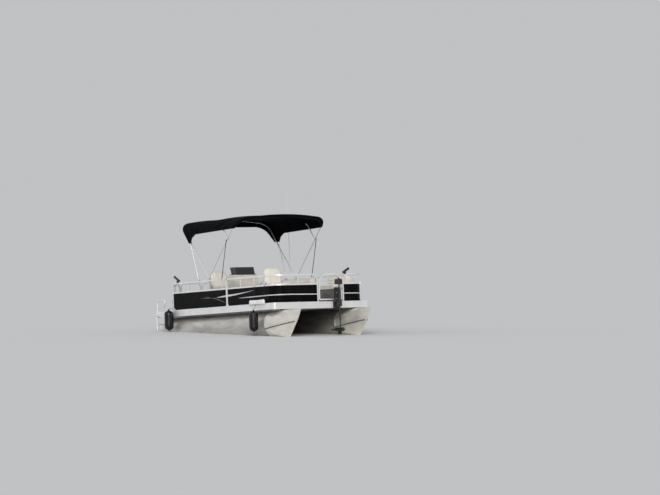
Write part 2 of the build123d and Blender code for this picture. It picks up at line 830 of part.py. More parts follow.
def helm_wheel():
    """Rim, three spokes and hub, with the axle's bore."""
    rim = Torus(wheel_diameter / 2, wheel_rim / 2)
    hub = Pos(0, 0, -8) * Cylinder(wheel_hub / 2, 34)
    wheel = hub + rim
    reach = wheel_diameter / 2 - wheel_rim / 4
    for angle in (90, 210, 330):
        spoke = Pos(reach / 2, 0, 0) * Box(reach, 26, 7)
        wheel = wheel + Rot(0, 0, angle) * spoke
    wheel = wheel - Pos(0, 0, -25 + 12) * Cylinder(wheel_axle / 2 + motor_clearance, 26)
    return helm_frame * Pos(0, 0, wheel_stand_off + 10) * wheel


def windshield():
    """A raked wrap-round screen on the console's top."""
    y0, y1 = console_y
    length = windshield_run
    width = y1 - y0 - 2 * windshield_inset
    inner = (length - 2 * windshield_sheet, width - 2 * windshield_sheet)
    plan = RectangleRounded(length, width, windshield_corner)
    plan = plan - RectangleRounded(*inner, windshield_corner - windshield_sheet)
    plan = plan - Pos(-length / 2, 0) * Rectangle(length * 0.9, width + 10)
    rake = tan(radians(windshield_rake))
    base_z = deck_z + console_height
    centre = console_fore_x - console_brow - 5 - length / 2
    sheet = extrude(plan, amount=windshield_height / cos(radians(windshield_rake)), dir=(-rake, 0, 1))
    return Pos(centre, (y0 + y1) / 2, base_z) * sheet


# Seats


def swivel_seat():
    """A seat facing +X with its swivel on the Z axis, from its base plate up."""
    plate = Pos(0, 0, 6) * Cylinder(90, 12)
    px, py, pz = seat_pan
    pan = Pos(0, 0, 12 + pz / 2) * Box(px, py, pz)
    cx, cy, cz = seat_cushion
    base = 12 + pz
    cushion = block(-cx / 2 + 10, cx / 2 + 10, -cy / 2, cy / 2, base, base + cz, 30)
    bx, by, bz = seat_back
    face = Plane.YZ * make_face(
        FilletPolyline((-by / 2, 0), (-by / 2, bz), (by / 2, bz), (by / 2, 0), radius=seat_corner)
        + [Line((by / 2, 0), (-by / 2, 0))]
    )
    back = extrude(face, amount=bx)
    back = fillet(back.edges().filter_by(GeomType.CIRCLE), 20)
    back = Pos(-cx / 2 - bx / 2 + 10, 0, base + cz - 40) * Rot(0, -seat_back_lean, 0) * back
    arms = block(-cx / 2 - 30, -cx / 2 + 60, -cy / 2 - 8, cy / 2 + 8, base, base + cz + 40)
    seat = plate + pan + cushion + back + arms
    return seat - Pos(0, 0, 15) * Cylinder(spindle / 2 + pin_clearance, 30.01)


def pedestal(x, y, base_z):
    """A seat pedestal: foot plate, post, top plate and the spindle that the seat turns on."""
    top = base_z - seat_gap
    foot = Pos(x, y, deck_z + pedestal_plate / 2) * Cylinder(pedestal_foot / 2, pedestal_plate)
    post = Pos(x, y, (deck_z + top) / 2) * Cylinder(pedestal_post / 2, top - deck_z)
    plate = Pos(x, y, top - pedestal_plate / 2) * Cylinder(80, pedestal_plate)
    pin = Pos(x, y, top + 14) * Cylinder(spindle / 2, 28)
    return foot + post + plate + pin


def couch_base(x0, x1, y0, y1):
    """A moulded couch base with a recessed foot."""
    top = deck_z + couch_seat_height - couch_cushion
    toe = 50
    body = block(x0, x1, y0, y1, deck_z + toe, top)
    return body + block(x0 + toe, x1 - toe, y0 + toe, y1 - toe, deck_z, deck_z + toe)


def couch_cushions(x0, x1, y0, y1, back):
    """Seat and back cushions, 1 mm clear of each other and of the base."""
    low = deck_z + couch_seat_height - couch_cushion + 0.5
    mid = low + couch_cushion
    high = mid + couch_back_height
    d = couch_back_depth
    if back == "port":
        seat = block(x0, x1, y0, y1 - d - 1, low, mid, 30)
        rest = block(x0, x1, y1 - d, y1, low, high, 30)
    else:
        seat = block(x0 + d + 1, x1, y0, y1, low, mid, 30)
        rest = block(x0, x0 + d, y0, y1, low, high, 30)
    return [seat, rest]


# Boarding ladder


def boarding_ladder():
    """Two side tubes with flat steps, hanging from the pivot at the stern."""
    x, z = ladder_pivot
    body = None
    for y in ladder_ys:
        tube = rod((x, y, z + 20), (x, y, ladder_foot_z), ladder_tube)
        body = tube if body is None else body + tube
    pitch = (z - 90 - ladder_foot_z - 20) / (ladder_steps - 1)
    half = ladder_step_depth / 2
    for i in range(ladder_steps):
        step_z = ladder_foot_z + 20 + i * pitch
        body = body + block(x - half, x + half, ladder_ys[0], ladder_ys[1], step_z - 8, step_z + 8)
    reach = ladder_tube
    bore = rod((x, ladder_ys[0] - reach, z), (x, ladder_ys[1] + reach, z), ladder_pin + 2 * pin_clearance)
    return body - bore


def ladder_handrails():
    """Two arms out from the deck's edge that carry the ladder, each with a hoop for the hand."""
    x, z = ladder_pivot
    top_z = deck_z + handrail_height
    arm = (
        (deck_aft_x, band_top_z),
        (x, z + ladder_arm_end / 2),
        (x - ladder_arm_end, z + ladder_arm_end / 2),
        (x - ladder_arm_end, z - ladder_arm_end),
        (deck_aft_x, beam_z),
    )
    rails = []
    for y, side in zip(ladder_ys, (-1, 1)):
        inner = y + side * (ladder_tube / 2 + 1)
        outer = inner + side * ladder_arm_sheet
        plate = side_plate(arm, min(inner, outer), max(inner, outer))
        pin = rod((x, y - side * (ladder_tube / 2 + 2), z), (x, outer, z), ladder_pin)
        middle = (inner + outer) / 2
        path = [(handrail_foot_x, deck_z), (handrail_foot_x, deck_z + 70)]
        path += [(handrail_top_xs[0], top_z), (handrail_top_xs[1], top_z), (handrail_top_xs[1], z - 10)]
        hoop = round_tube([(px, middle, pz) for px, pz in path], [50, 60, 70], handrail_tube)
        rails.append(plate + pin + hoop)
    return rails


# Outboard motor


def tilted(shape):
    """Tilt a piece of the upright motor up about the pivot."""
    x, z = motor_pivot
    return Pos(x, 0, z) * Rot(0, motor_tilt, 0) * Pos(-x, 0, -z) * shape


def outboard_bracket():
    """The clamp bracket over the transom: two arms, the tilt tube and a cross bar."""
    face = pod_aft_x
    inner_face = pod_aft_x + transom_thickness
    top = transom_top_z + clamp_gap
    side = (
        (inner_face + 20, top - 90),
        (inner_face + 20, top + 30),
        (motor_pivot[0], motor_pivot[1] + 26),
        (motor_pivot[0] - 24, motor_pivot[1]),
        (face - 60, transom_top_z - 190),
        (face - clamp_gap, transom_top_z - 190),
        (face - clamp_gap, top),
        (inner_face + clamp_gap, top),
        (inner_face + clamp_gap, top - 90),
    )
    outer = clamp_half_width
    body = side_plate(side, outer - clamp_arm, outer) + side_plate(side, -outer, clamp_arm - outer)
    x, z = motor_pivot
    body = body + rod((x, -outer, z), (x, outer, z), tilt_tube)
    low_z = transom_top_z - 165
    return body + rod((face - 30, -outer, low_z), (face - 30, outer, low_z), 20)


def outboard_swivel():
    """The swivel bracket: a sleeve on the tilt tube and the tube that the leg turns in."""
    x, z = motor_pivot
    half = clamp_half_width - clamp_arm - 1.5
    sleeve = rod((x, -half, z), (x, half, z), tilt_tube + 22)
    web = block(swivel_x, x, -26, 26, z - 60, z + 15)
    brace = side_plate(((x - 30, z - 60), (swivel_x, z - 60), (swivel_x, z - 220)), -8, 8)
    tube = rod((swivel_x, 0, z - 300), (swivel_x, 0, z + 60), swivel_tube)
    body = sleeve + web + brace + tube
    body = body - rod((x, -200, z), (x, 200, z), tilt_tube + 2 * motor_clearance)
    return body - rod((swivel_x, 0, z - 400), (swivel_x, 0, z + 200), swivel_shaft + 2 * motor_clearance)


def outboard_leg():
    """The leg that steers: shaft, yokes, midsection, plate, gearcase, skeg and the lower cowl."""
    z = motor_pivot[1]
    low, high = z - 300 - 3, z + 60 + 3
    shaft = rod((swivel_x, 0, low - 20), (swivel_x, 0, cowl_bottom_z), swivel_shaft)
    column_x = swivel_x - swivel_tube / 2 - 14
    body = shaft
    body = body + block(column_x - 120, swivel_x + 24, -30, 30, high, high + 50)
    body = body + block(column_x - 120, swivel_x + 24, -30, 30, low - 40, low)
    section = Pos(column_x - 70, 0) * Ellipse(72, 42)
    body = body + Pos(0, 0, gearcase_z) * extrude(section, amount=cowl_bottom_z - gearcase_z)
    plate = Pos(column_x - 90, 0, 4) * extrude(RectangleRounded(330, 180, 60), amount=8)
    nose_profile = make_face(
        [
            Line((0, -160), (0, 170)),
            ThreePointArc((0, 170), (38, 120), (gearcase_diameter / 2, 30)),
            Line((gearcase_diameter / 2, 30), (gearcase_diameter / 2, -100)),
            Line((gearcase_diameter / 2, -100), (propeller_hub / 2, -160)),
            Line((propeller_hub / 2, -160), (0, -160)),
        ]
    )
    torpedo = revolve(nose_profile, Axis.Y, 360)
    torpedo = Pos(column_x - 60, 0, gearcase_z) * Rot(0, 0, -90) * torpedo
    skeg = side_plate(
        (
            (column_x + 10, gearcase_z),
            (column_x - 130, gearcase_z),
            (column_x - 150, gearcase_z - 150),
            (column_x - 90, gearcase_z - 150),
        ),
        -5,
        5,
    )
    pan = block(motor_pivot[0] + 45, motor_pivot[0] - 390, -155, 155, cowl_bottom_z, cowl_bottom_z + 65, 25)
    end = motor_propeller_x - motor_screw_length / 2 - 12
    screw_shaft = rod((end, 0, gearcase_z), (motor_leg_x - 100, 0, gearcase_z), propeller_shaft)
    return tilted(body + plate + torpedo + skeg + pan + screw_shaft)


def outboard_cowl():
    """The engine cover: tapered walls under a crown that slopes down aft and at the front."""
    length, width, height = cowl_size
    x = motor_pivot[0] + 47 - length / 2
    walls = extrude(RectangleRounded(length, width, 80), amount=height, taper=4)
    half = length / 2
    crown = [(half * across, height * up) for across, up in cowl_crown]
    face = Plane.XZ * make_face(FilletPolyline(*crown, close=True, radius=cowl_crown_radius))
    body = walls & (Pos(0, width, 0) * extrude(face, amount=2 * width))
    upper = [edge for edge in body.edges() if edge.center().Z > cowl_crown[2][1] * height - 10]
    return tilted(Pos(x, 0, cowl_bottom_z + 66) * fillet(upper, cowl_edge_radius))


def blade_section(chord, thickness, pitch, radius):
    """A blade's lens-shaped section at one radius, turned to its pitch angle."""
    half = chord / 2
    bulge = thickness / 2
    back = ThreePointArc((-half, 0), (0, bulge), (half, 0))
    front = ThreePointArc((half, 0), (0, -bulge), (-half, 0))
    return Pos(0, radius, 0) * Rot(90, 0, 0) * Rot(0, 0, pitch) * make_face([back, front])


def propeller(diameter, hub, hub_length, bore, blades, chord):
    """A propeller about the X axis: twisted blades round the origin and a bore for the shaft.

    The pitch angle falls towards the tip, as the blade's speed there is greater.
    """
    body = Rot(0, 90, 0) * Cylinder(hub / 2, hub_length)
    sections = []
    for share, width, thickness, pitch in blade_stations:
        radius = hub / 2 - 5 + share * (diameter / 2 - hub / 2 + 5)
        sections.append(blade_section(width * chord, thickness, 90 - pitch, radius))
    blade = loft(sections)
    for i in range(blades):
        body = body + Rot(360 / blades * i, 0, 0) * blade
    return body - Rot(0, 90, 0) * Cylinder(bore / 2 + motor_clearance, hub_length + 2)


motor_leg_x = swivel_x - swivel_tube / 2 - 14 - 60
motor_screw_length = 90
motor_propeller_x = motor_leg_x - 160 - propeller_gap - motor_screw_length / 2


def outboard_propeller():
    screw = propeller(propeller_diameter, propeller_hub, motor_screw_length, propeller_shaft, 3, 120)
    return tilted(Pos(motor_propeller_x, 0, gearcase_z) * screw)


# Bow trolling motor


def trolling_mount():
    """The bracket over the bow's edge band: plates, an arm out to the collar, and a tower behind it."""
    x, y = trolling_x, trolling_y
    face = deck_fore_x
    out = face + 20
    half = trolling_plate / 2
    top = block(face - 50, out, y - half, y + half, band_top_z, band_top_z + 12)
    front = block(face + 0.3, out, y - half, y + half, band_top_z - 190, band_top_z + 12)
    arm = block(out, x - trolling_collar_size / 2, y - 40, y + 40, band_top_z - 110, band_top_z - 20)
    width, tower_z = trolling_tower
    fore = x - trolling_collar_size / 2 - 12
    foot_z = band_top_z - 25
    side = ((out, foot_z), (fore, foot_z), (fore, tower_z - 60), (fore - 25, tower_z), (out + 4, tower_z))
    return top + front + arm + side_plate(side, y - width / 2, y + width / 2)


def trolling_collar():
    """A square clamp that the sleeve slides in."""
    x, y = trolling_x, trolling_y
    outer = trolling_collar_size / 2
    inner = trolling_sleeve / 2 + trolling_collar_gap
    low, high = band_top_z - 120, band_top_z - 10
    body = block(x - outer, x + outer, y - outer, y + outer, low, high)
    return body - block(x - inner, x + inner, y - inner, y + inner, low - 1, high + 1)


def trolling_carriage():
    """The sleeve that slides in the collar and carries the shaft."""
    x, y = trolling_x, trolling_y
    low, high = band_top_z - 430, band_top_z + 130
    body = rod((x, y, low), (x, y, high), trolling_sleeve)
    body = body + rod((x, y, high - 60), (x, y, high), 76)
    return body - rod((x, y, low - 10), (x, y, high + 10), trolling_shaft + 2 * motor_clearance)


trolling_screw_x = trolling_x - trolling_unit_aft - propeller_gap - trolling_screw_length / 2


def trolling_motor():
    """Shaft, control head and lower unit; it turns in the sleeve."""
    x, y = trolling_x, trolling_y
    body = rod((x, y, trolling_unit_z), (x, y, trolling_head_z + 20), trolling_shaft)
    body = body + block(x - 110, x + 70, y - 60, y + 60, trolling_head_z, trolling_head_z + 120, 25)
    unit = rod((x - trolling_unit_aft, y, trolling_unit_z), (x + 110, y, trolling_unit_z), 88)
    end = trolling_screw_x - trolling_screw_length / 2 - 8
    unit = unit + rod((end, y, trolling_unit_z), (x, y, trolling_unit_z), trolling_screw_shaft)
    tip = Pos(x + 110, y, trolling_unit_z) * Sphere(44)
    fin = block(x - 110, x + 40, y - 4, y + 4, trolling_unit_z - 110, trolling_unit_z)
    return body + unit + tip + fin


def trolling_stop_ring():
    """A ring clamped on the shaft, which keeps it from sliding down through the sleeve."""
    x, y, low = trolling_x, trolling_y, band_top_z + 130 + trolling_ring_gap
    bore = rod((x, y, low - 1), (x, y, low + 26), trolling_shaft + 2 * pin_clearance)
    return rod((x, y, low), (x, y, low + 25), trolling_ring) - bore


def trolling_screw():
    screw = propeller(trolling_propeller, 60, trolling_screw_length, trolling_screw_shaft, 2, 62)
    return Pos(trolling_screw_x, trolling_y, trolling_unit_z) * screw


# Fittings


antenna_pivot_z = fence_top_z


def antenna_mount():
    face = fence_half_beam + half_tube
    x = antenna_x
    plate = block(x - 30, x + 30, face, face + 6, antenna_pivot_z - 14, antenna_pivot_z + 14)
    pin = rod((x, face, antenna_pivot_z), (x, antenna_y + 16, antenna_pivot_z), 10)
    return plate + pin


def antenna():
    """A whip on its folding ferrule, upright at rest."""
    x, y, z = antenna_x, antenna_y, antenna_pivot_z
    ferrule = rod((x, y, z - 14), (x, y, z + 120), 26)
    whip = Pos(x, y, z + 110 + antenna_length / 2) * Cone(
        antenna_base_diameter / 2, antenna_tip_diameter / 2, antenna_length
    )
    body = ferrule + whip
    return body - rod((x, y - 30, z), (x, y + 30, z), 10 + 2 * pin_clearance)


def rod_holders():
    """Open tubes on clamp blocks along the top rail."""
    holders = []
    outer = rod_holder_bore / 2 + rod_holder_wall
    for x, side, lean in rod_holder_places:
        y = side * fence_half_beam
        base = block(x - 25, x + 25, y - 20, y + 20, rail_top_z, rail_top_z + 50)
        frame = Pos(x, y, rail_top_z + 50 + outer) * Rot(0, lean, 0)
        tube = frame * (Pos(0, 0, 40) * Cylinder(outer, rod_holder_length))
        bore = frame * (Pos(0, 0, 46) * Cylinder(rod_holder_bore / 2, rod_holder_length))
        holders.append((base + tube) - bore)
    return holders


def nav_lights():
    """A lamp on the mid rail at each bow corner."""
    lamps = []
    centre_x = fence_fore_x - fence_corner_radius
    centre_y = fence_half_beam - fence_corner_radius
    reach = fence_corner_radius + half_tube
    lamp = block(reach - 1, reach + 26, -34, 34, fence_mid_z - 14, fence_mid_z + 34)
    lamp = Pos(centre_x, centre_y, 0) * Rot(0, 0, 55) * lamp
    corner = Pos(centre_x, centre_y, fence_mid_z) * Cylinder(reach + 0.1, 200)
    return both_sides(lamp - corner)


def cleats():
    """Four horn cleats on the band's lip."""
    y = deck_beam / 2 - band_rib - band_flange / 2
    out = []
    half = cleat_length / 2
    for x in cleat_xs:
        z = band_top_z
        body = block(x - 40, x + 40, y - 14, y + 14, z, z + 6)
        for foot in (-20, 20):
            body = body + rod((x + foot, y, z), (x + foot, y, z + 32), 14)
        body = body + rod((x - half, y, z + 34), (x + half, y, z + 34), cleat_horn)
        out += both_sides(body)
    return out


def fenders():
    """Two cylinder fenders along the starboard side."""
    out = []
    y = -(deck_beam / 2 + fender_gap + fender_diameter / 2)
    for x, top in zip(cleat_xs, fender_tops_z):
        body = Pos(x, y, top - fender_length / 2) * Cylinder(fender_diameter / 2, fender_length)
        body = fillet(body.edges().filter_by(GeomType.CIRCLE), 60)
        body = body + rod((x, y, top - 10), (x, y, top + fender_neck), 36)
        out.append(body)
    return out


def fender_lines():
    """Short taut lines from the fenders' necks to the cleats."""
    lines = []
    y = -(deck_beam / 2 + fender_gap + fender_diameter / 2)
    cleat_y = -(deck_beam / 2 - band_rib - band_flange / 2)
    for x, top in zip(cleat_xs, fender_tops_z):
        start = Vector(x, y + 8, top + fender_neck)
        end = Vector(x, cleat_y - cleat_horn / 2 - fender_line / 2 + 0.6, band_top_z + 34)
        lean = (end - start).normalized().Y
        start = start + Vector(0, 0, fender_gap + lean * fender_line / 2)
        lines.append(rod(start, end, fender_line))
    return lines


def main():
    os.makedirs("parts", exist_ok=True)
    y = tube_spacing / 2
    hull = pontoon()
    save("pontoon_starboard", Pos(0, -y, 0) * hull)
    save("pontoon_port", Pos(0, y, 0) * hull)
    save("spray_strakes", [Pos(0, side * y, 0) * fin for side in (-1, 1) for fin in strakes()])
    save("cross_members", cross_members())
    save("deck_panel", deck_panel())
    save("deck_edge_band", deck_edge_band())
    save("motor_pod", motor_pod())
    for name, side in (("starboard", -1), ("port", 1)):
        aft, bow = side_sections(side)
        save(f"fence_{name}_aft", aft[0])
        save(f"fence_{name}_bow", bow[0])
        save(f"panels_{name}", [aft[1], bow[1]])
    frames, panel = stern_section()
    save("fence_stern", frames)
    save("panel_stern", panel)
    fore_x, fore_edges, side, inward = bow_gate_place
    save("bow_gate", gate(fore_x, fore_edges, gate_corner_radius, side, inward))
    aft_x, aft_edges, side, inward = stern_gate_place
    save("stern_gate", gate(aft_x, aft_edges, fence_end_radius, side, inward))
    save("stern_gate_panel", gate_panel(fence_aft_x, stern_gate_edges))
    save("top_front_bow", front_bow())
    save("top_middle_bow", bow_hoop(front_knuckle, middle_corner, top_inner_beam))
    save("top_rear_bow", rear_bow())
    save("top_rear_struts", rear_struts())
    save("top_mounts", top_mounts())
    save("top_front_straps", front_straps())
    save("top_canopy", canopy())
    save("console", console())
    save("helm_wheel", helm_wheel())
    save("windshield", windshield())
    seat = swivel_seat()
    for name, x, y, z in swivel_seats:
        save(name, Pos(x, y, z) * seat)
    save("seat_pedestals", [pedestal(x, y, z) for _, x, y, z in swivel_seats])
    save("couch_bases", [couch_base(*row[1:-1]) for row in couches])
    save("couch_cushions", [c for row in couches for c in couch_cushions(*row[1:])])
    save("boarding_ladder", boarding_ladder())
    save("ladder_handrails", ladder_handrails())
    save("outboard_bracket", outboard_bracket())
    save("outboard_swivel", tilted(outboard_swivel()))
    save("outboard_leg", outboard_leg())
    save("outboard_cowl", outboard_cowl())
    save("outboard_propeller", outboard_propeller())
    save("trolling_mount", trolling_mount())
    save("trolling_collar", trolling_collar())
    save("trolling_carriage", trolling_carriage())
    save("trolling_motor", trolling_motor())
    save("trolling_stop_ring", trolling_stop_ring())
    save("trolling_propeller", trolling_screw())
    save("antenna_mount", antenna_mount())
    save("antenna", antenna())
    save("rod_holders", rod_holders())
    save("nav_lights", nav_lights())
    save("cleats", cleats())
    save("fenders", fenders())
    save("fender_lines", fender_lines())


main()
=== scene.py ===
"""The looks of the pontoon boat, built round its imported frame. Metres, +X to the bow, +Y to port, +Z up."""
from math import atan2, copysign, cos, dist, exp, hypot, pi, radians, sin, sqrt, tan

import bmesh
import bpy
from mathutils import Matrix, Vector, bvhtree, noise


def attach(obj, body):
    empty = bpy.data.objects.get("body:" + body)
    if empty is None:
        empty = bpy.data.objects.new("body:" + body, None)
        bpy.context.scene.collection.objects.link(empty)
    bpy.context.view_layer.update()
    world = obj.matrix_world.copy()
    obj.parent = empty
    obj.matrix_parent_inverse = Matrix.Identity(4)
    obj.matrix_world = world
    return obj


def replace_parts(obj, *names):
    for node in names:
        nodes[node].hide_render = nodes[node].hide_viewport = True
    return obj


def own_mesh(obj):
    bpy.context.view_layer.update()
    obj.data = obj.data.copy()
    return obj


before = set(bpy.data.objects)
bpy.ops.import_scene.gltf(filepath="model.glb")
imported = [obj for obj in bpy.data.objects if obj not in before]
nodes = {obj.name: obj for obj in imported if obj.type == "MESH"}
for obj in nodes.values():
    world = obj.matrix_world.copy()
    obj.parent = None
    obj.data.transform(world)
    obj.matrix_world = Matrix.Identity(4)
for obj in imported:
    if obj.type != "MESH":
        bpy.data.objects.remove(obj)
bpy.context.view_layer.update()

# The view: where the camera stands, from 0 at starboard to 90 at the bow, and how the boat floats
view_azimuth = 60
view_elevation = 1.93
bow_up_trim = 3.3
camera_roll = 0.45
camera_distance = 110
pixels_per_metre = 43.7
image_width = 660
image_height = 495
sensor_width = 36
aim_point = Vector((0.58, 0, 0.02))
aim_pixel = (276.967, 338.592)
waterline_at_origin = 0.172

# The body that everything fixed rides on
ROOT = "hull"

# Hull and deck
deck_half_length = 2.66
deck_half_beam = 1.25
frame_deck_z = 0.785
band_top = 0.79
beam_level = 0.64
tube_radius = 0.305
pontoon_z = 0.32
pontoon_y = 0.915
nose_seam_x = 2.15

# Fence and side panels; the bend is the one at a bow panel's corner, as (x, y)
rail_half_beam = 1.17
panel_face_y = 1.18
fence_top_z = 1.405
rail_clip_z = 1.497
panel_bend = (2.28, 0.87)
panel_bend_radius = 0.31

# Folding top, as (x, z); corners are where a bow's leg and crossbar would meet
top_hinge = (-0.42, 1.451)
front_corner = (0.96, 2.74)
front_knuckle = (0.5, 1.451 + (2.74 - 1.451) * 0.92 / 1.38)
middle_corner = (0.09, 2.76)
rear_knuckle = (-1.2, 2.25)
rear_corner = (-1.65, 2.75)
inner_half_beam = 1.139
bow_crown = 0.19
bow_corner_radius = 0.3
bow_crown_radius = 4.8
canopy_edge = ((0.82, 2.55), (-0.95, 2.505), (-1.11, 2.43), (-1.19, 2.31), (-1.29, 2.31))
canopy_grow = 0.0158
canopy_past = 0.0242
canopy_sag = 0.022
mouth_z = 2.68
mouth_radius = 0.28
mouth_insets = (0.03, 0.17)
cloth_thickness = 0.004
sleeve_radius = 0.0152
strap_y = 1.1882
strap_foot_x = 0.22
strap_half_width = 0.0145
strap_half_thickness = 0.0011

# Console, seats, motors and fittings
console_top = 1.5
console_inner_y = -0.43
swivel_seats = (("captain_seat", -0.5, -0.72, 1.15), ("fishing_seat", 1.7, -0.56, 1.13))
motor_pivot = (-2.84, 0.6)
motor_tilt = 60
cowl_middle_x = -3.013
cowl_low_z = 0.796
cleat_xs = (-2.05, 1.91)
fender_tops = (0.8, 0.64)
fender_y = -1.3553
handrail_ys = (-1.198, -0.818)
# The white pad on the near side: its middle x, its heights, and the face it hangs against
side_pad_place = (1.945, 0.757, 0.885, 1.252)
foot_trim_y = 1.187

X, Y, Z = Vector((1, 0, 0)), Vector((0, 1, 0)), Vector((0, 0, 1))
square = ((-1, -1), (1, -1), (1, 1), (-1, 1))


# Materials

even = (1, 1, 1)
noise_roughness = 0.55


def wire(owner, node, *feeds, **values):
    """Sets or links a node's inputs, feeds in turn and values by name. A new node is given by its kind."""
    tree = owner.node_tree
    if isinstance(node, str):
        node = tree.nodes.new("ShaderNode" + node)
    sockets = [node.inputs[key.replace("_", " ")] for key in values]
    for socket, value in [*zip(node.inputs, feeds), *zip(sockets, values.values())]:
        if isinstance(value, bpy.types.NodeSocket):
            tree.links.new(value, socket)
        else:
            socket.default_value = value
    return node


def shader_of(material):
    return material.node_tree.nodes["Principled BSDF"]


def plain(name, colour, roughness, metallic=0.0, **more):
    """A material with one colour; more holds further inputs of the shader by their names."""
    material = bpy.data.materials.new(name)
    material.use_nodes = True
    more.update(Base_Color=(*colour, 1), Roughness=roughness, Metallic=metallic)
    wire(material, shader_of(material), **more)
    return material


def place_nodes(material, stretch=even):
    """Object coordinates, scaled along each axis."""
    spot = wire(material, "TexCoord").outputs["Object"]
    return wire(material, "Mapping", Vector=spot, Scale=stretch).outputs["Vector"]


def noise_node(material, scale, detail, stretch=even):
    spot = place_nodes(material, stretch)
    values = {"Scale": scale, "Detail": detail, "Roughness": noise_roughness, "Vector": spot}
    return wire(material, "TexNoise", **values).outputs["Fac"]


def math_node(owner, operation, *feeds):
    node = owner.node_tree.nodes.new("ShaderNodeMath")
    node.operation = operation
    return wire(owner, node, *feeds).outputs["Value"]


def ramp_node(material, value, low, high, start=0.35, end=0.65):
    """A ramp from one colour to another over part of a value's range."""
    ramp = wire(material, "ValToRGB", Fac=value)
    for element, position, colour in zip(ramp.color_ramp.elements, (start, end), (low, high)):
        element.position = position
        element.color = (*colour, 1)
    return ramp.outputs["Color"]


def vary_colour(material, low, high, scale, start=0.35, end=0.65, detail=4, stretch=even):
    colour = ramp_node(material, noise_node(material, scale, detail, stretch), low, high, start, end)
    wire(material, shader_of(material), Base_Color=colour)
    return colour


def vary_roughness(material, low, high, scale, stretch=even):
    grey = ramp_node(material, noise_node(material, scale, 3, stretch), (low,) * 3, (high,) * 3)
    wire(material, shader_of(material), Roughness=grey)


def add_bump(material, height, strength, distance):
    """Adds a bump after any bump that is already on the shader."""
    shader = shader_of(material)
    bump = wire(material, "Bump", Strength=strength, Distance=distance, Height=height)
    before = shader.inputs["Normal"].links
    if before:
        wire(material, bump, Normal=before[0].from_socket)
    wire(material, shader, Normal=bump.outputs["Normal"])


def noise_bump(material, scale, strength, distance, detail=3, stretch=even):
    add_bump(material, noise_node(material, scale, detail, stretch), strength, distance)


def weave_bump(material, pitch, strength, distance):
    """Fine crossed ribs, as in woven cloth."""
    waves = []
    for axis in "XY":
        wave = material.node_tree.nodes.new("ShaderNodeTexWave")
        wave.bands_direction = axis
        wire(material, wave, Scale=1 / pitch / pi, Vector=place_nodes(material))
        waves.append(wave.outputs["Fac"])
    add_bump(material, math_node(material, "MULTIPLY", *waves), strength, distance)


def bare_aluminium():
    """Rolled sheet that has weathered: cloudy tones, rolling grain and water stains; the noses get painted
    light.
    """
    material = plain("bare_aluminium_look", (0.52, 0.5, 0.46), 0.5, 0.6)
    tube = vary_colour(material, (0.4, 0.39, 0.365), (0.62, 0.605, 0.57), 3.2, 0.3, 0.72, 6, (0.6, 1.5, 2.4))
    # Painted light: ahead of the nose seam the colour turns paler and creamier, standing in for sunlight on
    # the noses' forward faces
    cloud = noise_node(material, 2.6, 6, (1, 1, 1.6))
    lit_nose_colour = ramp_node(material, cloud, (0.66, 0.64, 0.57), (0.86, 0.84, 0.77), 0.3, 0.7)
    x = wire(material, "SeparateXYZ", Vector=place_nodes(material)).outputs["X"]
    lit_nose_mask = wire(material, "MapRange", Value=x, From_Min=nose_seam_x - 0.01, From_Max=nose_seam_x + 0.01)
    mix = material.node_tree.nodes.new("ShaderNodeMix")
    mix.data_type = "RGBA"
    wire(material, mix, Factor=lit_nose_mask.outputs["Result"], A=tube, B=lit_nose_colour)
    wire(material, shader_of(material), Base_Color=mix.outputs["Result"])
    vary_roughness(material, 0.36, 0.62, 9, (0.5, 1, 2))
    noise_bump(material, 60, 0.12, 0.002, 3, (0.15, 1, 1))
    noise_bump(material, 4, 0.25, 0.006)
    return material


looks = {}


def smooth(mesh, angle=35):
    mesh.shade_smooth()
    mesh.set_sharp_from_angle(angle=radians(angle))


def keep_look(key, slot, node_names, material):
    """Keeps a material with the record's slot name, and dresses the CAD nodes that wear it."""
    looks[key] = material, slot
    for name in node_names.split():
        thing = nodes[name]
        if not thing.material_slots:
            thing.data.materials.append(material)
        for holder in thing.material_slots:
            holder.material = material
        smooth(thing.data)


def add_look(key, slot, node_names, name, colour, roughness, tones=(), rough=(), bump=(), weave=(), **more):
    """A look with varied tones and roughness, a bump and a weave, each given as its function takes it."""
    material = plain(name, colour, roughness, **more)
    steps = ((vary_colour, tones), (vary_roughness, rough), (weave_bump, weave), (noise_bump, bump))
    for step, values in steps:
        if values:
            step(material, *values)
    keep_look(key, slot, node_names, material)


def satin_aluminium(key, slot, node_names, name, tone):
    """Brushed and clear-coated aluminium, with faint clouds and lengthwise brushing."""
    tones = ((tone * 0.93,) * 3, (tone * 1.03,) * 3, 3, 0.3, 0.7)
    grain = (90, 0.03, 0.0004, 3, (0.06, 0.06, 1))
    add_look(key, slot, node_names, name, (tone,) * 3, 0.4, tones, (0.34, 0.46, 12), grain, metallic=0.55)


def cream_vinyl(key, node_names, name, tone):
    """Grained marine vinyl with faint dirt in random patches."""
    dark, light = [c * tone for c in (0.68, 0.635, 0.555)], [c * tone for c in (0.83, 0.795, 0.72)]
    add_look(
        key, "cream_vinyl", node_names, name, (0.78, 0.74, 0.66), 0.46, (dark, light, 5, 0.3, 0.7, 6),
        (0.4, 0.55, 18), (260, 0.3, 0.0008, 2), Coat_Weight=0.06,
    )


def moulded_plastic(key, slot, node_names, name, colour, roughness, spread):
    dark, light = [c * (1 - spread) for c in colour], [c * (1 + spread) for c in colour]
    rough = (roughness - 0.08, roughness + 0.1, 20)
    add_look(key, slot, node_names, name, colour, roughness, (dark, light, 9), rough, (420, 0.12, 0.0004, 2))


def stripe_vinyl(key, slot, name, low, high):
    """Vinyl stripe with a faint pearl."""
    more = {"metallic": 0.15, "Coat_Weight": 0.2}
    add_look(key, slot, "", name, high, 0.35, (low, high, 14), (), (300, 0.05, 0.0003), **more)


